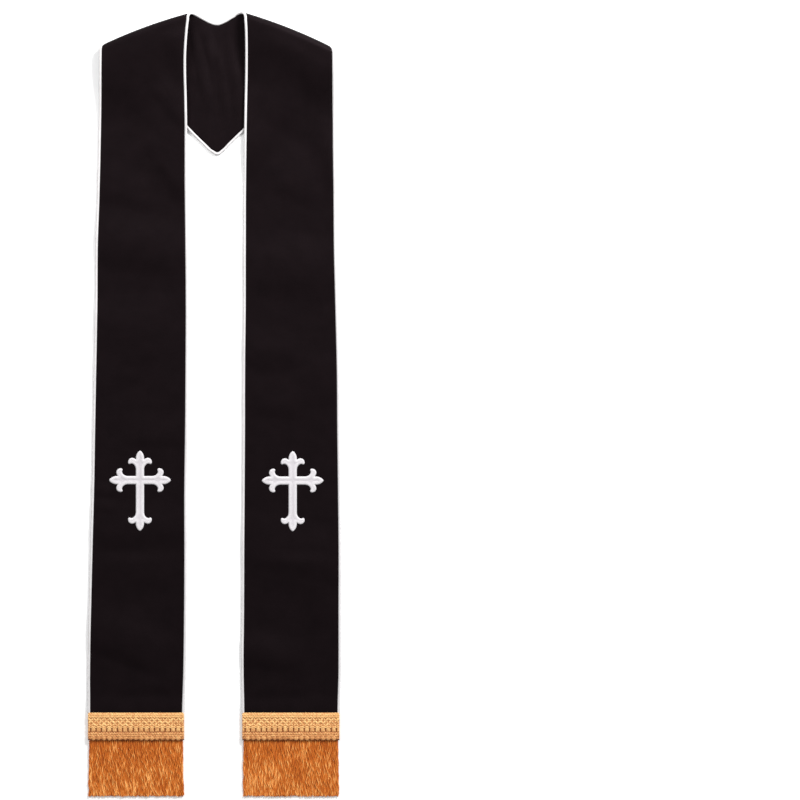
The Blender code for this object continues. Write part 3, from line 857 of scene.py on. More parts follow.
def front_underside(half, fold, x, y):
    """Height of a front's underside above the floor, creases included."""
    beyond = outside_back(half, x, y)
    if beyond >= 0.0:
        over = OVER_PIPING * (1.0 - ease((beyond - OVER_EDGE_REACH) / OVER_FLOOR_RAMP))
    else:
        inside = ease((-beyond - OVER_EDGE_REACH) / OVER_CLOTH_RAMP)
        over = mix(OVER_PIPING, OVER_CLOTH, inside)
    e, d = fold.split(x, y)
    beyond_loop = d - fold.turn_d(e)
    slope = 1.0 - ease(beyond_loop / half.fall)
    height = over + (2.0 * fold.radius(e) - over) * slope
    hem = ease((BRAID_TOP + HEM_RAMP - y) / (HEM_RAMP - BRAID_CLEAR))
    swells = swell_height(FRONT_SWELLS, x, y) * (1.0 - slope) * cross_clearance(x, y)
    small = crease_height(FRONT_CREASES, x, y) + max(ripple(x, y), 0.0)
    small *= ease(beyond_loop / CREASE_NEAR_LOOP) * (1.0 - hem)
    return height + HEM_LIFT * hem + swells + small


# %% [markdown]
# ### Rows of points
#
# The middle of the cloth is a grid: rows follow the strip from the hem to the back seam, and
# columns go from the outer edge to the inner one, closer together near the edges, where the
# cloth is rolled round its seam.

# %% Grid of a half
FRONT_STEP = 0.0032
LOOP_STEPS = 26
BACK_STEP = 0.0030
EDGE_PLACES = (0.0, 0.0004, 0.0011, 0.0021, 0.0034)
MIDDLE_COLUMNS = 38
EDGE_SHARE_WIDTH = 0.138
SEAM_CLOSE = -0.00001


def column_shares():
    """Where the columns lie across the strip, from 0 to 1."""
    near = [place / EDGE_SHARE_WIDTH for place in EDGE_PLACES]
    middle = [
        mix(near[-1], 1.0 - near[-1], (k + 1) / (MIDDLE_COLUMNS + 1))
        for k in range(MIDDLE_COLUMNS)
    ]
    return near + middle + [1.0 - share for share in near[::-1]]


def resample(points, step):
    """Points a step apart along a smooth curve through the given points."""
    found = []
    for i in range(len(points) - 1):
        a = points[max(i - 1, 0)]
        b = points[i]
        c = points[i + 1]
        d = points[min(i + 2, len(points) - 1)]
        count = max(1, round((c - b).length / step))
        for k in range(count):
            t = k / count
            found.append(
                0.5 * (
                    2 * b + (c - a) * t + (2 * a - 5 * b + 4 * c - d) * t ** 2
                    + (3 * b - a - 3 * c + d) * t ** 3
                )
            )
    return found + [points[-1]]


# %% Rows of a half
def front_rows(half, fold, outer_top, inner_top):
    """Rows of a front, from the hem to the shoulder loop."""
    shares = column_shares()
    hem = BRAID_TOP - HEM_INSIDE
    count = round((outer_top[1] - hem) / FRONT_STEP)
    rows = []
    for i in range(count + 1):
        outer_y = mix(hem, outer_top[1], i / count)
        tilt = ease((outer_y - TILT_FROM) / (outer_top[1] - TILT_FROM))
        inner_y = outer_y + (inner_top[1] - outer_top[1]) * tilt
        outer = Vector((smooth_value(half.front, "y", "outer", outer_y), outer_y))
        inner = Vector((smooth_value(half.front, "y", "inner", inner_y), inner_y))
        row = []
        for share in shares:
            flat = outer.lerp(inner, share)
            z = front_underside(half, fold, flat.x, flat.y) + WALL / 2
            row.append(Vector((flat.x, flat.y, z)))
        rows.append(row)
    return rows


def loop_rows(half, fold, outer_top, inner_top):
    """Rows round the shoulder loop, where the strip turns to the slant of the back."""
    shares = column_shares()
    outer_e = fold.split(*outer_top)[0]
    inner_e = fold.split(*inner_top)[0]
    rows = []
    for i in range(1, LOOP_STEPS + 1):
        turn = pi / 2 - pi * i / LOOP_STEPS
        late = (i / LOOP_STEPS) ** LOOP_LATENESS
        start_e = mix(outer_e, half.lower_e, late)
        end_e = mix(inner_e, half.neck_e, late)
        row = []
        for share in shares:
            e = mix(start_e, end_e, share)
            radius = fold.radius(e)
            x, y = fold.point(e, fold.turn_d(e) - radius * cos(turn))
            row.append(Vector((x, y, WALL / 2 + radius * (1.0 + sin(turn)))))
        rows.append(row)
    return rows


def back_rows(half, last):
    """Rows of the back, from the last row of the loop to the centre back seam."""
    shares = column_shares()
    to_seam = Vector((half.side * SEAM_CLOSE, 0.0))
    lower = [last[0].xy] + [Vector((row.lower_x, row.lower_y)) for row in half.back]
    neck = [last[-1].xy] + [Vector((row.neck_x, row.neck_y)) for row in half.back]
    lower[-1] = lower[-1] + to_seam
    neck[-1] = neck[-1] + to_seam
    sections = [Vector((*a, *b)) for a, b in zip(lower, neck)]
    rows = []
    for section in resample(sections, BACK_STEP)[1:]:
        start = Vector(section[:2])
        end = Vector(section[2:])
        row = []
        for share in shares:
            flat = start.lerp(end, share)
            lift = swell_height(BACK_SWELLS, flat.x, flat.y)
            lift += crease_height(BACK_CREASES, flat.x, flat.y)
            row.append(Vector((flat.x, flat.y, WALL / 2 + lift)))
        rows.append(row)
    return rows


def half_rows(half):
    """Middle surface of a half, as rows of points from the hem to the centre back seam."""
    fold = Fold(half)
    tops = [edge_crossing(half, fold, column) for column in ("outer", "inner")]
    rows = front_rows(half, fold, *tops) + loop_rows(half, fold, *tops)
    return rows + back_rows(half, rows[-1])


grids = {half.name: half_rows(half) for half in HALVES}
for name, rows in grids.items():
    print(name, "half:", len(rows), "rows of", len(rows[0]), "points")

# %% [markdown]
# ### From the middle to a shell
#
# The shell gets its top and its underside by going half the thickness up and down along the
# cloth's own normal. Towards both long edges and the back seam it thins, as a turned and
# pressed edge does. A Solidify modifier would be quicker, but it can't thin the cloth there.
# A UV map in metres carries the weave.

# %% Helpers for meshes
def quarter_round(t):
    """A rise from 0 to 1 that starts upright and ends level, as a quarter of a circle."""
    return np.sqrt(1.0 - (1.0 - t) ** 2)


def grid_cells(index):
    """The four corners of each cell in a grid of points, once round."""
    corners = (index[:-1, :-1], index[1:, :-1], index[1:, 1:], index[:-1, 1:])
    return np.stack([corner.ravel() for corner in corners], axis=1)


def corner_points(mesh):
    """The number of the point at each corner of each face."""
    corners = np.zeros(len(mesh.loops), np.int32)
    mesh.loops.foreach_get("vertex_index", corners)
    return corners


def write_uv(mesh, name, places):
    """Keep a place for each corner of each face, as a UV map."""
    layer = mesh.uv_layers.new(name=name)
    layer.uv.foreach_set("vector", places.astype(np.float32).ravel())


def lay_down(mesh, material):
    """Smooth a finished mesh, give it its finish and put it in the scene."""
    mesh.shade_smooth()
    mesh.materials.clear()
    mesh.materials.append(material)
    print(mesh.name, "has", len(mesh.polygons), "faces")
    return show(mesh.name, mesh)


# %% Cloth shells
EDGE_THIN = 0.34
EDGE_ROLL = 0.0034
SEAM_THIN = 0.06
SEAM_ROLL = 0.0012


def thickness_share(distance):
    """Thickness of the cloth at a distance from an edge, as a share of the full one."""
    return EDGE_THIN + (1.0 - EDGE_THIN) * quarter_round(clamp(distance / EDGE_ROLL))


def steps_along(points, axis):
    """How far each point lies along its row or column."""
    run = np.diff(points, axis=axis)
    length = np.linalg.norm(run, axis=2)
    start = np.zeros_like(np.take(length, [0], axis=axis))
    return np.cumsum(np.concatenate([start, length], axis=axis), axis=axis)


def build_cloth(half, rows):
    """The cloth of a half as one closed shell, with its UV map."""
    points = np.array([[tuple(p) for p in row] for row in rows])
    normal = np.cross(np.gradient(points, axis=1), np.gradient(points, axis=0))
    normal /= np.linalg.norm(normal, axis=2, keepdims=True)
    if normal[0, 0, 2] < 0.0:
        normal = -normal
    across = steps_along(points, 1)
    along = steps_along(points, 0)
    edge = np.minimum(across, across[:, -1:] - across)
    seam = along[-1:, :] - along
    share = np.vectorize(thickness_share)(edge)
    share *= 1.0 - SEAM_THIN * np.exp(-((seam / SEAM_ROLL) ** 2))
    offset = normal * (WALL / 2 * share)[:, :, None]
    upper = (points + offset).reshape(-1, 3)
    under = (points - offset).reshape(-1, 3)
    index = np.arange(len(upper)).reshape(points.shape[:2])
    top = grid_cells(index)
    if half.side < 0:
        top = top[:, [0, 3, 2, 1]]
    low = top[:, ::-1] + len(upper)
    border = np.concatenate([index[0, :], index[1:, -1], index[-1, -2::-1], index[-2:0:-1, 0]])
    following = np.roll(border, -1)
    wall = np.stack([border, border + len(upper), following + len(upper), following], axis=1)
    if half.side > 0:
        wall = wall[:, ::-1]
    faces = np.concatenate([top, low, wall])
    mesh = bpy.data.meshes.new(half.name + "_cloth")
    mesh.from_pydata(np.concatenate([upper, under]).tolist(), [], faces.tolist())
    places = np.tile(np.stack([across.ravel(), along.ravel()], axis=1), (2, 1))
    write_uv(mesh, "cloth", places[corner_points(mesh)])
    piece = lay_down(mesh, cloth_finish)
    last_row = set(index[-1].tolist()) | set((index[-1] + len(upper)).tolist())
    for edge_line in mesh.edges:
        if last_row.issuperset(edge_line.vertices):
            edge_line.use_edge_sharp = True
    sides = points[1:, :-1] - points[:-1, :-1], points[:-1, 1:] - points[:-1, :-1]
    area = np.linalg.norm(np.cross(*sides), axis=2).sum()
    print(mesh.name, "cut area", round(float(area), 4), "m2, length",
          round(float(along.max()), 3), "m, width", round(float(across.max()), 4), "m")
    return piece


cloths = {half.name: build_cloth(half, grids[half.name]) for half in HALVES}

# %% [markdown]
# ## Piping
#
# A cord in a strip of white cotton is sewn between the two layers along every long edge.
# Geometry Nodes sweep a circle along the edge of the cloth. A little noise across the cord
# makes the puckers of the cotton, and the tree writes the UV map that its weave reads. A
# curve with a bevel makes a cord too, but a smooth one with no such map.

# %% Helpers for growing trees
def growing_tree(name, inputs):
    """A Geometry Nodes tree. A shape to grow on and a material are always among its inputs."""
    inputs = [("Geometry", "Geometry"), *inputs, ("Material", "Material")]
    return new_tree(name, "Geometry", inputs, [("Geometry", "Geometry")])


def capture(board, curve, name, value):
    """Remember a value along a curve. Gives back the curve and the value."""
    node = board.add("GeometryNodeCaptureAttribute", domain="POINT")
    node.capture_items.new("FLOAT", name)
    board.join(curve, node.inputs["Geometry"])
    board.join(value, node.inputs[name])
    return Value(board, node.outputs["Geometry"]), Value(board, node.outputs[name])


def store(board, shape, name, value, domain, data_type="FLOAT"):
    """Keep a value on a shape, under a name that a material can read."""
    inputs = {"Geometry": shape, "Name": name, "Value": value}
    settings = {"data_type": data_type, "domain": domain}
    return board.out("GeometryNodeStoreNamedAttribute", "Geometry", inputs, **settings)


def sweep(board, curve, ring):
    """A ring swept along a curve, with closed ends."""
    inputs = {"Curve": curve, "Profile Curve": ring, "Fill Caps": True}
    return board.out("GeometryNodeCurveToMesh", "Mesh", inputs)


def move(board, shape, offset):
    """A shape with its points moved."""
    return board.out("GeometryNodeSetPosition", "Geometry", {"Geometry": shape, "Offset": offset})


def finish_tree(board, end, shape, material):
    """The last nodes of every tree: real geometry, then its material."""
    real = board.out("GeometryNodeRealizeInstances", "Geometry", {"Geometry": shape})
    inputs = {"Geometry": real, "Material": material}
    board.join(board.out("GeometryNodeSetMaterial", "Geometry", inputs), end["Geometry"])


def grow(name, board, values, base=None):
    """Run a tree, on a base mesh if it needs one, and keep what it makes as a plain mesh."""
    maker = show(name + "_maker", base or bpy.data.meshes.new(name + "_base"))
    modifier = maker.modifiers.new(board.tree.name, "NODES")
    modifier.node_group = board.tree
    for item in board.tree.interface.items_tree:
        if item.in_out == "INPUT" and item.name in values:
            modifier[item.identifier] = values[item.name]
    graph = bpy.context.evaluated_depsgraph_get()
    mesh = bpy.data.meshes.new_from_object(maker.evaluated_get(graph), depsgraph=graph)
    bpy.data.objects.remove(maker)
    mesh.name = name
    return mesh


# %% Piping tree
PUCKER = (210.0, 1.0)

piping_tree, piping_in, piping_end = growing_tree(
    "Piping",
    [
        ("Radius", "Float", PIPING_R),
        ("Sides", "Int", 12),
        ("Spacing", "Float", 0.0022),
        ("Pucker", "Float", 0.00012),
    ],
)
cord_line = piping_tree.out("GeometryNodeMeshToCurve", "Curve", {"Mesh": piping_in["Geometry"]})
cord_even = piping_tree.out(
    "GeometryNodeResampleCurve", "Curve",
    {"Curve": cord_line, "Length": piping_in["Spacing"]}, mode="LENGTH",
)
cord_ring = piping_tree.out(
    "GeometryNodeCurvePrimitiveCircle", "Curve",
    {"Resolution": piping_in["Sides"], "Radius": piping_in["Radius"]},
)
run_so_far = piping_tree.out("GeometryNodeSplineParameter", "Length")
cord_even, cord_along = capture(piping_tree, cord_even, "Along", run_so_far)
cord_ring, cord_round = capture(piping_tree, cord_ring, "Round", run_so_far)
cord_tube = store(
    piping_tree, sweep(piping_tree, cord_even, cord_ring), "cord",
    piping_tree.combine(X=cord_round, Y=cord_along), "CORNER", "FLOAT2",
)
pucker_size = (piping_tree.cloudy(*PUCKER) - 0.5) * piping_in["Pucker"]
pucker_way = piping_tree.out("GeometryNodeInputNormal", 0).vector("SCALE", {"Scale": pucker_size})
cord_puckered = move(piping_tree, cord_tube, pucker_way)
finish_tree(piping_tree, piping_end, cord_puckered, piping_in["Material"])

# %% [markdown]
# The cord's middle runs just beside the cloth's edge. It is lifted so that its underside is
# level with the cloth's, and it ends straight across at the centre back seam, where the other
# half's piping meets it.

# %% Piping along the edges
BESIDE_EDGE = 0.0001
TURN_FROM = 1.5


def piping_path(rows, column, half):
    """Centre line of the piping beside an edge of a half, from the braid to the seam."""
    inside = len(EDGE_PLACES) - 1
    edge = [row[column] for row in rows]
    beside = [row[inside if column == 0 else -1 - inside] for row in rows]
    away = PIPING_R + BESIDE_EDGE
    path = []
    for i, point in enumerate(edge):
        run = (edge[min(i + 1, len(edge) - 1)] - edge[max(i - 1, 0)]).normalized()
        outward = point - beside[i]
        outward -= run * outward.dot(run)
        outward.normalize()
        normal = run.cross(outward)
        lift = normal * normal.z * (PIPING_R - WALL / 2 + PIPING_CLEAR)
        path.append(point + outward * away + lift)
    start = BRAID_TOP - BRAID_CLEAR / 2
    while path[1].y < start:
        path.pop(0)
    seam = edge[-1]
    end_y = seam.y + away * (-1.0 if column == 0 else 1.0)
    while abs(path[-1].x - seam.x) < PIPING_TURN * TURN_FROM:
        path.pop()
    for reach in (PIPING_TURN, 0.0):
        path.append(Vector((seam.x + half.side * reach, end_y, PIPING_R + PIPING_CLEAR)))
    return path


pipings = {}
for half in HALVES:
    for edge_name, column in (("outer", 0), ("inner", -1)):
        name = f"{half.name}_{edge_name}_cord"
        path = piping_path(grids[half.name], column, half)
        line = bpy.data.meshes.new(name + "_line")
        line.from_pydata([tuple(p) for p in path], [(i, i + 1) for i in range(len(path) - 1)], [])
        mesh = grow(name, piping_tree, {"Material": piping_finish}, line)
        pipings[half.name, edge_name] = lay_down(mesh, piping_finish)
        length = sum((b - a).length for a, b in zip(path, path[1:]))
        print(name, "is", round(length, 3), "m long")

# %% [markdown]
# ## Embroidered crosses
#
# Each cross has fleury ends, a form used for centuries. It is worked in satin stitch over a
# padding, so it rises quickly from its edge and dips a little along the middle of each bar,
# where the threads from both sides meet.
#
# The outline is one closed chain. A fine grid fills it: every grid point knows its distance to
# the outline, points just outside are pulled onto it, and the height follows the distance.
# A filled curve would give long thin faces instead, with no points inside to raise.

# %% Outline of a cross
EndPoint = namedtuple("EndPoint", "out back")
END_OUTLINE = [
    EndPoint(0.0062, 0.0275),
    EndPoint(0.0071, 0.0240),
    EndPoint(0.0096, 0.0207),
    EndPoint(0.0128, 0.0194),
    EndPoint(0.0158, 0.0203),
    EndPoint(0.0177, 0.0188),
    EndPoint(0.0176, 0.0152),
    EndPoint(0.0155, 0.0120),
    EndPoint(0.0118, 0.0108),
    EndPoint(0.0085, 0.0116),
    EndPoint(0.0061, 0.0131),
    EndPoint(0.0061, 0.0092),
    EndPoint(0.0046, 0.0046),
    EndPoint(0.0021, 0.0012),
]
NOTCH = 10
OUTLINE_STEP = 0.0009


def cross_outline(step):
    """The whole outline of a cross, once round, with its bars' meeting point at 0, 0."""
    outline = []
    for end in CROSS_ENDS:
        turn = Matrix.Rotation(radians(end.turn), 2)
        chain = [Vector((end.reach - point.back, -point.out)) for point in END_OUTLINE]
        petal = resample(chain[:NOTCH + 1], step)
        bud = resample(chain[NOTCH:] + [Vector((end.reach, 0.0))], step)
        side = petal[:-1] + bud
        mirrored = [Vector((p.x, -p.y)) for p in side[-2::-1]]
        inner_corner = [Vector((CROSS_BAR, CROSS_BAR))]
        outline += [turn @ point for point in side + mirrored + inner_corner]
    return np.array([tuple(p) for p in outline])


outline = cross_outline(OUTLINE_STEP)
print("the outline of a cross has", len(outline), "points")

# %% Distance to the outline
def nearest_on_outline(places):
    """Distance to the outline (above 0 inside), the nearest place and its way along."""
    start = outline
    run = np.roll(outline, -1, axis=0) - start
    length = np.linalg.norm(run, axis=1)
    way = np.concatenate([[0.0], np.cumsum(length)[:-1]])
    offset = places[:, None, :] - start[None, :, :]
    t = np.clip((offset * run).sum(2) / (length ** 2), 0.0, 1.0)
    near = start + run * t[:, :, None]
    distance = np.linalg.norm(places[:, None, :] - near, axis=2)
    best = distance.argmin(axis=1)
    rows = np.arange(len(places))
    crossing = (start[None, :, 1] > places[:, None, 1]) != (
        (start + run)[None, :, 1] > places[:, None, 1]
    )
    drop = np.where(run[:, 1] == 0.0, 1.0, run[:, 1])
    at = start[None, :, 0] + (places[:, None, 1] - start[None, :, 1]) * run[:, 0] / drop
    inside = (crossing & (places[:, None, 0] < at)).sum(1) % 2 == 1
    signed = np.where(inside, distance[rows, best], -distance[rows, best])
    return signed, near[rows, best], way[best] + t[rows, best] * length[best]


# %% Stitched relief
STITCH_STEP = 0.00062
STITCH_KEPT = 0.62
STITCH_PULLED = 0.38
STITCH_RISE = 0.0024
STITCH_HEIGHT = 0.0013
STITCH_DIP = 0.00045
STITCH_BASE = 0.0001


def fill_outline():
    """A grid that fills the outline: its places, their depth, their way along, its cells."""
    low = outline.min(0) - STITCH_STEP
    high = outline.max(0) + STITCH_STEP
    count = (np.ceil((high - low) / STITCH_STEP).astype(int) + 1).tolist()
    lines = [low[axis] + np.arange(count[axis]) * STITCH_STEP for axis in (0, 1)]
    places = np.stack(np.meshgrid(*lines, indexing="ij"), axis=2).reshape(-1, 2)
    signed, near, way = nearest_on_outline(places)
    usable = signed > -STITCH_STEP * STITCH_KEPT
    pulled = signed < STITCH_STEP * STITCH_PULLED
    places = np.where((usable & pulled)[:, None], near, places)
    cells = grid_cells(np.arange(len(places)).reshape(count))
    cells = cells[usable[cells].all(axis=1)]
    cells = cells[(~pulled[cells]).any(axis=1)]
    used, cells = np.unique(cells, return_inverse=True)
    depth = np.where(pulled[used], 0.0, np.maximum(signed[used], 0.0))
    return places[used], depth, way[used], cells.reshape(-1, 4)


def build_cross(cross, half):
    """The embroidery of a cross, on the cloth of its front."""
    places, depth, way, cells = fill_outline()
    rise = quarter_round(np.clip(depth / STITCH_RISE, 0.0, 1.0))
    dip = np.clip((depth - STITCH_RISE) / (CROSS_BAR - STITCH_RISE), 0.0, 1.0)
    height = STITCH_HEIGHT * rise - STITCH_DIP * dip ** 2
    fold = Fold(half)
    face = []
    under = []
    for (x, y), up in zip(places + (cross.x, cross.y), height):
        ground = front_underside(half, fold, x, y) + WALL
        face.append((x, y, ground + STITCH_BASE + up))
        under.append((x, y, ground - STITCH_BASE))
    sides = np.stack([cells, np.roll(cells, -1, axis=1)], axis=2).reshape(-1, 2).tolist()
    shared = set(map(tuple, sides))
    rim = np.array([(a, b) for a, b in sides if (b, a) not in shared])
    below = len(face)
    walls = np.stack([rim[:, 1], rim[:, 0], rim[:, 0] + below, rim[:, 1] + below], axis=1)
    faces = np.concatenate([cells, cells[:, ::-1] + below, walls])
    mesh = bpy.data.meshes.new(cross.name + "_embroidery")
    mesh.from_pydata(face + under, [], faces.tolist())
    corners = corner_points(mesh)
    ways = np.tile(way, 2)[corners].reshape(-1, 4)
    length = way.max()
    ways = np.where(ways - ways[:, :1] > length / 2, ways - length, ways)
    ways = np.where(ways[:, :1] - ways > length / 2, ways + length, ways)
    write_uv(mesh, "stitch", np.stack([np.tile(depth, 2)[corners], ways.ravel()], axis=1))
    return lay_down(mesh, thread_finish)


crosses = {half.name: build_cross(cross, half) for cross, half in zip(CROSSES, HALVES)}

# %% [markdown]
# ## Gold braid
#
# The braid is a flat sleeve round the hem. From its top edge down it has a ribbed band, a
# trellis of crossing yarns, a row of rounded lobes with dark slots between them, a groove,
# and a second band with a scalloped lower edge.
#
# The sleeve is a fine grid whose height follows these bands. The single yarns of the trellis,
# the lobes and the scallops are grown on it with Geometry Nodes, one row at a time. They
# could be painted on by the finish alone, but real yarns catch the light and cast shadows.

# %% Bands of the braid
TRELLIS_TOP = 0.0075
SLOT_TOP = 0.0212
SLOT_BOTTOM = 0.0280
GROOVE_BOTTOM = 0.0300
SCALLOPS = 0.0022
RIM_HEIGHT = 0.0008
RIM_WIDTH = 0.0015
RIM_SUNK = 0.0001
RIB_PITCH = 0.0024
RIB_HEIGHT = 0.00022
PICK_PITCH = 0.0016
PICK_HEIGHT = 0.00006
TRELLIS_DEPTH = 0.00055
SLOT_DEPTH = 0.00085
SLOT_WIDTH = 0.0015
GROOVE_DEPTH = 0.00060
TWILL_PITCH = (0.0026, 0.0030)
TWILL_HEIGHT = 0.00012
# The sleeve's values below are painted shade: low in the trellis, the slots, the groove and
# between the scallops, which the yarns grown on it shade, and high on its open bands.
RIB_LIGHT = 0.80
TRELLIS_PAINTED_SHADE = 0.34
SLOT_PAINTED_SHADE_TO_LOBE = (-0.60, 0.72)
SLOT_PAINTED_SHADE_REACH = (0.0004, 0.0010)
GROOVE_PAINTED_SHADE = 0.15
TWILL_LIGHT = 0.36
SCALLOP_GAP_PAINTED_SHADE = -0.3


def hem_place(half):
    """Middle and width of a front at its hem."""
    outer = smooth_value(half.front, "y", "outer", BRAID_TOP - BRAID_HEIGHT / 2)
    inner = smooth_value(half.front, "y", "inner", BRAID_TOP - BRAID_HEIGHT / 2)
    return (outer + inner) / 2, abs(outer - inner)


def beside_slot(x, pitch):
    """How far a place lies from the nearest slot between two lobes."""
    return abs((x / pitch) % 1.0 - 0.5) * pitch


def braid_relief(x, down, pitch):
    """Height of the braid's face above its flat sleeve."""
    ends = min(down, BRAID_HEIGHT - down)
    relief = RIM_HEIGHT * sqrt(min(ends / RIM_WIDTH, 1.0)) - RIM_SUNK
    if down < TRELLIS_TOP:
        ribs = RIB_HEIGHT * abs(sin(pi * down / RIB_PITCH))
        return relief + (ribs + PICK_HEIGHT * sin(2 * pi * x / PICK_PITCH))
    if down < SLOT_TOP:
        return relief - TRELLIS_DEPTH
    if down < SLOT_BOTTOM:
        return relief - SLOT_DEPTH * (1.0 - ease(beside_slot(x, pitch) / SLOT_WIDTH))
    if down < GROOVE_BOTTOM:
        return relief - GROOVE_DEPTH
    across, along = TWILL_PITCH
    return relief + TWILL_HEIGHT * sin(2 * pi * (x / across + down / along))


def sleeve_painted_shade(x, down, pitch):
    """Painted shade on the sleeve: dark where the yarns grown on it shade it, bright on its
    bands.
    """
    if down < TRELLIS_TOP:
        return RIB_LIGHT
    if down < SLOT_TOP:
        return TRELLIS_PAINTED_SHADE
    if down < SLOT_BOTTOM:
        dark_until, soft = SLOT_PAINTED_SHADE_REACH
        return mix(*SLOT_PAINTED_SHADE_TO_LOBE, ease((beside_slot(x, pitch) - dark_until) / soft))
    if down < GROOVE_BOTTOM:
        return GROOVE_PAINTED_SHADE
    return TWILL_LIGHT if down < BRAID_HEIGHT - SCALLOPS else SCALLOP_GAP_PAINTED_SHADE


# %% Sleeve of the braid
BRAID_WALL = 0.0012
BRAID_SIDE = 0.0024
BRAID_PITCH = 0.0079
BRAID_CELL = 0.00066
SIDE_DROP = 0.0011
SIDE_ROUND = 0.003
SIDE_BULGE = 0.0004
SIDE_MIDDLE = 0.52
UNDER_SHARE = 0.985
SCALLOP_DEPTH = 0.0014
SCALLOP_REACH = 0.004
SAME_PLACE = 0.000001


def build_sleeve(half):
    """The sleeve of the braid as a closed ring of fine cells."""
    middle, width = hem_place(half)
    inner_half = width / 2 + SEAM_GAP * 2
    outer_half = inner_half + BRAID_SIDE
    top_z = HEM_LIFT + WALL + SEAM_GAP + BRAID_WALL
    repeats = round(2 * outer_half / BRAID_PITCH)
    pitch = 2 * outer_half / repeats
    columns = round(2 * outer_half / BRAID_CELL)
    row_count = round(BRAID_HEIGHT / BRAID_CELL)
    bulge = outer_half + SIDE_BULGE
    under = outer_half * UNDER_SHARE
    side_z = top_z * SIDE_MIDDLE
    mesh = bmesh.new()
    rings = []
    for i in range(row_count + 1):
        down = BRAID_HEIGHT * i / row_count
        ring = []
        for k in range(columns + 1):
            x = mix(-outer_half, outer_half, k / columns)
            edge = min(k, columns - k) / columns * 2 * outer_half
            drop = SIDE_DROP * (1.0 - quarter_round(min(edge / SIDE_ROUND, 1.0)))
            z = top_z + braid_relief(x + outer_half, down, pitch) - drop
            scallop = SCALLOP_DEPTH * abs(cos(pi * (x + outer_half) / pitch)) ** 3
            scallop *= ease((down - BRAID_HEIGHT + SCALLOP_REACH) / SCALLOP_REACH)
            ring.append(mesh.verts.new((middle + x, BRAID_TOP - down + scallop, z)))
        for x, z in ((bulge, side_z), (under, 0.0), (0.0, 0.0), (-under, 0.0), (-bulge, side_z)):
            ring.append(mesh.verts.new((middle + x, BRAID_TOP - down, z)))
        rings.append(ring)
    inner_rings = []
    for down in (0.0, BRAID_HEIGHT):
        ring = []
        for vertex in rings[0]:
            x = min(max((vertex.co.x - middle), -inner_half), inner_half)
            z = min(max(vertex.co.z, HEM_LIFT - SEAM_GAP), HEM_LIFT + WALL + SEAM_GAP)
            ring.append(mesh.verts.new((middle + x, BRAID_TOP - down, z)))
        inner_rings.append(ring)
    rings += inner_rings[::-1] + rings[:1]
    for first, second in zip(rings, rings[1:]):
        for k in range(len(first)):
            following = (k + 1) % len(first)
            mesh.faces.new((first[k], second[k], second[following], first[following]))
    bmesh.ops.remove_doubles(mesh, verts=mesh.verts, dist=SAME_PLACE)
    bmesh.ops.recalc_face_normals(mesh, faces=mesh.faces)
    data = bpy.data.meshes.new(half.name + "_gold_braid")
    mesh.to_mesh(data)
    mesh.free()
    print(data.name, "has", repeats, "repeats of", round(pitch * 1000, 2), "mm")
    return data, middle, outer_half, pitch, top_z


# %% [markdown]
# One tree lays a row of stitches: a line of points, and on each a rounded stitch that is
# turned, sized and lifted by the row's own values. Every second stitch may lean the other
# way, which makes the V shapes of the trellis.

# %% Stitch row tree
STITCH_OWN = 0.13


def line_of_points(board, given):
    """Points in a line along X, as many and as far apart as a tree's own inputs say."""
    step = board.combine(X=given["Pitch"])
    inputs = {"Count": given["Count"], "Start Location": given["Start"], "Offset": step}
    return board.out("GeometryNodeMeshLine", "Mesh", inputs)


def repeat_on(board, points, shape, **inputs):
    """A shape repeated on points."""
    inputs = {"Points": points, "Instance": shape, **inputs}
    return board.out("GeometryNodeInstanceOnPoints", "Instances", inputs)


def draw(board, seed, low, high):
    """A random number for each point."""
    inputs = {"Seed": seed, 2: low, 3: high}
    return board.out("FunctionNodeRandomValue", 1, inputs, data_type="FLOAT")


row_tree, row_in, row_end = growing_tree(
    "Stitch row",
    [
        ("Count", "Int", 18),
        ("Start", "Vector"),
        ("Pitch", "Float", 0.008),
        ("Lean", "Float", 0.0),
        ("Other lean", "Float", 0.0),
        ("Size", "Vector"),
        ("Shade", "Float", 0.6),
        ("Unevenness", "Float", 0.19),
        ("Seed", "Int", 1),
    ],
)
row_bead = row_tree.out("GeometryNodeMeshIcoSphere", "Mesh", {"Radius": 1.0, "Subdivisions": 2})
row_odd = row_tree.out("GeometryNodeInputIndex", 0).math("MODULO", 2.0)
row_random = draw(row_tree, row_in["Seed"], -1.0, 1.0)
row_uneven = row_random * row_in["Unevenness"]
row_angle = row_odd.between(row_in["Lean"], row_in["Other lean"]) + row_uneven
row_stitches = repeat_on(
    row_tree, line_of_points(row_tree, row_in), row_bead,
    Rotation=row_tree.combine(Z=row_angle),
    Scale=row_in["Size"].vector("SCALE", {"Scale": row_uneven + 1.0}),
)
row_own = row_in["Shade"] + row_random * STITCH_OWN
row_marked = store(row_tree, row_stitches, "own", row_own, "INSTANCE")
finish_tree(row_tree, row_end, row_marked, row_in["Material"])

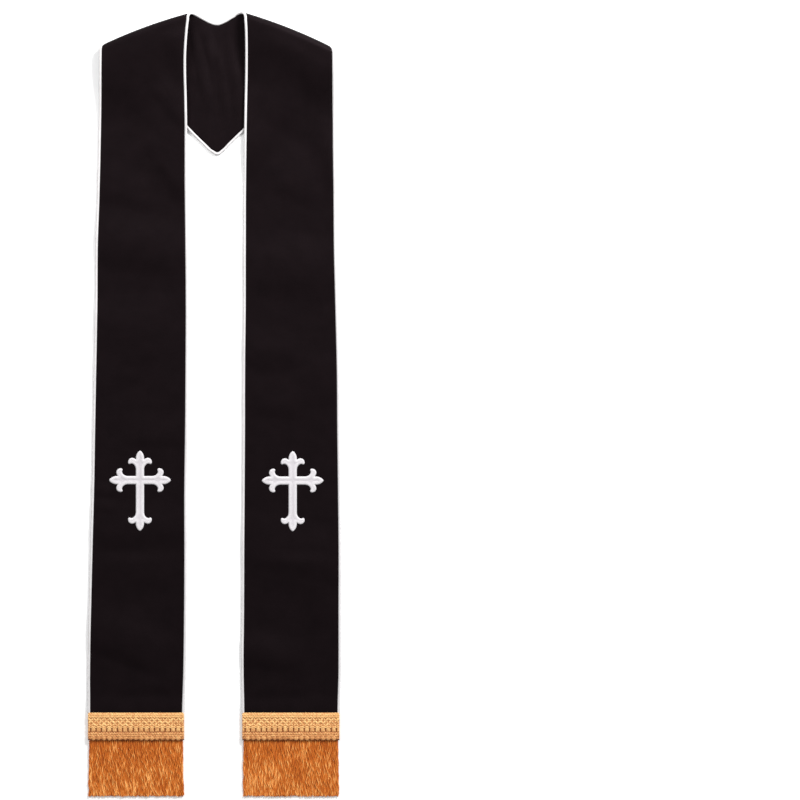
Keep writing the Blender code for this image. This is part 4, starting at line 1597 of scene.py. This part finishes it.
# %% Rows of stitches on the braid
StitchRow = namedtuple(
    "StitchRow", "down per_repeat shift lean other width length height rise shade"
)
STITCH_ROWS = [
    StitchRow(0.0006, 2.0, 0.25, 90, 90, 0.0008, 0.0017, 0.0007, 0.0002, 1.00),
    StitchRow(0.0034, 4.0, 0.125, 34, -34, 0.0008, 0.0019, 0.0005, 0.0007, 0.98),
    StitchRow(0.0064, 4.0, 0.125, -34, 34, 0.0008, 0.0019, 0.0005, 0.0007, 0.96),
    StitchRow(0.0102, 2.0, 0.25, 42, -42, 0.0015, 0.0031, 0.0008, 0.0000, 0.98),
    StitchRow(0.0142, 2.0, 0.25, -42, 42, 0.0015, 0.0031, 0.0008, 0.0000, 0.94),
    StitchRow(0.0182, 2.0, 0.25, 42, -42, 0.0014, 0.0031, 0.0008, 0.0000, 0.92),
    StitchRow(0.0240, 1.0, 1.0, 0, 0, 0.0033, 0.0044, 0.0010, 0.0000, 0.86),
    StitchRow(0.0215, 2.0, 0.25, 58, -58, 0.0010, 0.0024, 0.0007, 0.0005, 0.96),
    StitchRow(0.0312, 4.0, 0.125, 38, -38, 0.0010, 0.0020, 0.0007, 0.0006, 0.66),
    StitchRow(0.0344, 4.0, 0.125, -38, 38, 0.0010, 0.0020, 0.0007, 0.0006, 0.56),
    StitchRow(0.0379, 1.0, 1.0, 0, 0, 0.0034, 0.0036, 0.0011, 0.0003, 0.54),
]
YARN_UNEVEN = 0.19
LOBE_UNEVEN = 0.07
FIRST_ROW_SEED = 3


def join_meshes(target, parts):
    """Put several meshes together in one."""
    whole = bmesh.new()
    for part in parts:
        whole.from_mesh(part)
    whole.to_mesh(target)
    whole.free()
    return target


def build_braid(half):
    """The braid of one hem: its sleeve and the rows of stitches on it, as one piece."""
    sleeve, middle, outer_half, pitch, top_z = build_sleeve(half)
    left = middle - outer_half
    # Its own value is the painted shade of each point of the sleeve.
    own = sleeve.attributes.new("own", "FLOAT", "POINT")
    shades = [sleeve_painted_shade(v.co.x - middle + outer_half, BRAID_TOP - v.co.y, pitch)
              for v in sleeve.vertices]
    own.data.foreach_set("value", shades)
    parts = [sleeve]
    for number, row in enumerate(STITCH_ROWS):
        lobes = row.per_repeat == 1.0
        values = {
            "Count": round(2 * outer_half / pitch * row.per_repeat) - int(lobes),
            "Start": (left + pitch * row.shift, BRAID_TOP - row.down, top_z + row.rise),
            "Pitch": pitch / row.per_repeat,
            "Lean": radians(row.lean),
            "Other lean": radians(row.other),
            "Size": (row.width, row.length, row.height),
            "Shade": row.shade,
            "Unevenness": LOBE_UNEVEN if lobes else YARN_UNEVEN,
            "Seed": number + FIRST_ROW_SEED,
            "Material": braid_finish,
        }
        parts.append(grow(f"{sleeve.name}_row_{number}", row_tree, values))
    return lay_down(join_meshes(sleeve, parts), braid_finish)


braids = {half.name: build_braid(half) for half in HALVES}

# %% [markdown]
# ## Fringe
#
# The fringe is a thick curtain of crimped rayon threads. Geometry Nodes hang the threads: a
# line of points under the braid, one straight thread on each, then a wave that grows from the
# root and has its own phase on every thread. Four layers lie on each other, and the top one
# is thin and loose. The lower layers are painted darker, as shade under the ones above, and
# the top one lighter, as a painted highlight. Blender's hair could do this too, but these
# threads have to stay real meshes.

# %% Fringe tree
THREAD_POINTS = 40
THREAD_SIDES = 4
SHORTEST = 0.965
OTHER_DRAW = 11.0
CRIMP_DRAW = 7.3
CRIMP_RANGE = (0.55, 1.35)
PHASES = 60.0
WAVE_GROWS = 5.0
WAVE_DEPTH = 0.35
SWAY = (75.0, 1.0)
SWAY_SIZE = 0.006
OWN_LIGHT = 0.34
PAINTED_ROOT_SHADE = (-0.14, 0.16)

fringe_tree, fringe_in, fringe_end = growing_tree(
    "Fringe",
    [
        ("Count", "Int", 90),
        ("Start", "Vector"),
        ("Pitch", "Float", 0.0016),
        ("Length", "Float", 0.09),
        ("Thickness", "Float", 0.0006),
        ("Crimp", "Float", 0.00055),
        ("Crimps", "Float", 7.0),
        ("Fall", "Float", 0.001),
        ("Spread", "Float", 0.018),
        ("Middle", "Float", 0.0),
        ("Light", "Float", 0.0),
        ("Seed", "Int", 1),
    ],
)
hang_end = fringe_tree.combine(Y=fringe_in["Length"] * -1.0)
thread_line = fringe_tree.out("GeometryNodeCurvePrimitiveLine", "Curve", {"End": hang_end})
thread_fine = fringe_tree.out(
    "GeometryNodeResampleCurve", "Curve", {"Curve": thread_line, "Count": THREAD_POINTS}
)
thread_cut = draw(fringe_tree, fringe_in["Seed"], SHORTEST, 1.0)
hung = repeat_on(
    fringe_tree, line_of_points(fringe_tree, fringe_in), thread_fine,
    Scale=fringe_tree.combine(X=1.0, Y=thread_cut, Z=1.0),
)
thread_draw = draw(fringe_tree, fringe_in["Seed"] + OTHER_DRAW, 0.0, 1.0)
marked = store(fringe_tree, hung, "own", thread_draw, "INSTANCE")
loose = fringe_tree.out("GeometryNodeRealizeInstances", "Geometry", {"Geometry": marked})

down_share = fringe_tree.out("GeometryNodeSplineParameter", "Factor")
own_value = fringe_tree.out(
    "GeometryNodeInputNamedAttribute", 0, {"Name": "own"}, data_type="FLOAT"
)
own_crimps = (own_value * CRIMP_DRAW).math("FRACT").spread(0.0, 1.0, *CRIMP_RANGE)
wave_turn = down_share * (fringe_in["Crimps"] * own_crimps) * (2 * pi) + own_value * PHASES
wave_size = fringe_in["Crimp"] * (down_share * WAVE_GROWS).math("MINIMUM", 1.0)
wave_x = wave_turn.math("SINE") * wave_size
wave_z = wave_turn.math("COSINE") * (wave_size * WAVE_DEPTH)
hang_x = fringe_tree.out("GeometryNodeInputPosition", 0).parts()[0]
drift = down_share * fringe_in["Spread"] * (hang_x - fringe_in["Middle"])
sway = (fringe_tree.cloudy(*SWAY) - 0.5) * SWAY_SIZE * (down_share * down_share)
waved = move(
    fringe_tree, loose,
    fringe_tree.combine(X=wave_x + drift + sway, Z=wave_z - down_share * fringe_in["Fall"]),
)

# Painted shade: each thread is darker at its root, under the braid, and lighter towards its tip.
painted_root_shade = down_share.spread(0.0, 1.0, *PAINTED_ROOT_SHADE)
tone_and_painted_light = own_value * OWN_LIGHT + (fringe_in["Light"] + painted_root_shade)
lightened = store(fringe_tree, waved, "own", tone_and_painted_light, "POINT")
thread_ring = fringe_tree.out(
    "GeometryNodeCurvePrimitiveCircle", "Curve",
    {"Resolution": THREAD_SIDES, "Radius": fringe_in["Thickness"]},
)
thread_tubes = sweep(fringe_tree, lightened, thread_ring)
finish_tree(fringe_tree, fringe_end, thread_tubes, fringe_in["Material"])

# %% Fringe of each end
ROOT_UNDER = 0.0020
FRINGE_BESIDE = 0.0016
FIRST_LAYER_SEED = 5
SEED_STEP = 17
FringeLayer = namedtuple("FringeLayer", "z fall pitch thickness crimp crimps light")
# The light column is painted light: the lower layers are darker, as shade under the layers above
# them, and the loose top layer is lighter, as a painted highlight.
FRINGE_LAYERS = [
    FringeLayer(0.0014, 0.0004, 0.00130, 0.00080, 0.0002, 5.0, 0.05),
    FringeLayer(0.0024, 0.0008, 0.00125, 0.00070, 0.0003, 6.0, 0.08),
    FringeLayer(0.0031, 0.0010, 0.00140, 0.00066, 0.0005, 5.0, 0.12),
    FringeLayer(0.0036, 0.0012, 0.00320, 0.00060, 0.0012, 5.0, 0.40),
]


def build_fringe(half):
    """The fringe of one end, in layers, as one piece."""
    middle, width = hem_place(half)
    top = BRAID_TOP - BRAID_HEIGHT + ROOT_UNDER
    parts = []
    for number, layer in enumerate(FRINGE_LAYERS):
        count = int((width + 2 * FRINGE_BESIDE) / layer.pitch)
        values = {
            "Count": count,
            "Start": (middle - layer.pitch * (count - 1) / 2, top, layer.z),
            "Pitch": layer.pitch,
            "Length": top - FRINGE_END,
            "Thickness": layer.thickness,
            "Crimp": layer.crimp,
            "Crimps": layer.crimps,
            "Fall": layer.fall,
            "Middle": middle,
            "Light": layer.light,
            "Seed": SEED_STEP * number + FIRST_LAYER_SEED + half.side,
            "Material": fringe_finish,
        }
        parts.append(grow(f"{half.name}_fringe_layer_{number}", fringe_tree, values))
    target = bpy.data.meshes.new(half.name + "_gold_fringe")
    return lay_down(join_meshes(target, parts), fringe_finish)


fringes = {half.name: build_fringe(half) for half in HALVES}

# %% [markdown]
# ## Pieces on the body
#
# Every piece rides on the one body and stands for its solids, which are hidden.

for half in HALVES:
    name = half.name
    stands_for = [
        (cloths[name], f"{name}_half", "black_cloth"),
        (pipings[name, "outer"], f"{name}_outer_piping", "white_piping"),
        (pipings[name, "inner"], f"{name}_inner_piping", "white_piping"),
        (crosses[name], f"{name}_cross", "white_thread"),
        (braids[name], f"{name}_braid", "gold_braid"),
        (fringes[name], f"{name}_fringe", "gold_fringe"),
    ]
    for piece, node, slot in stands_for:
        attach(piece, "root")
        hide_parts(node)
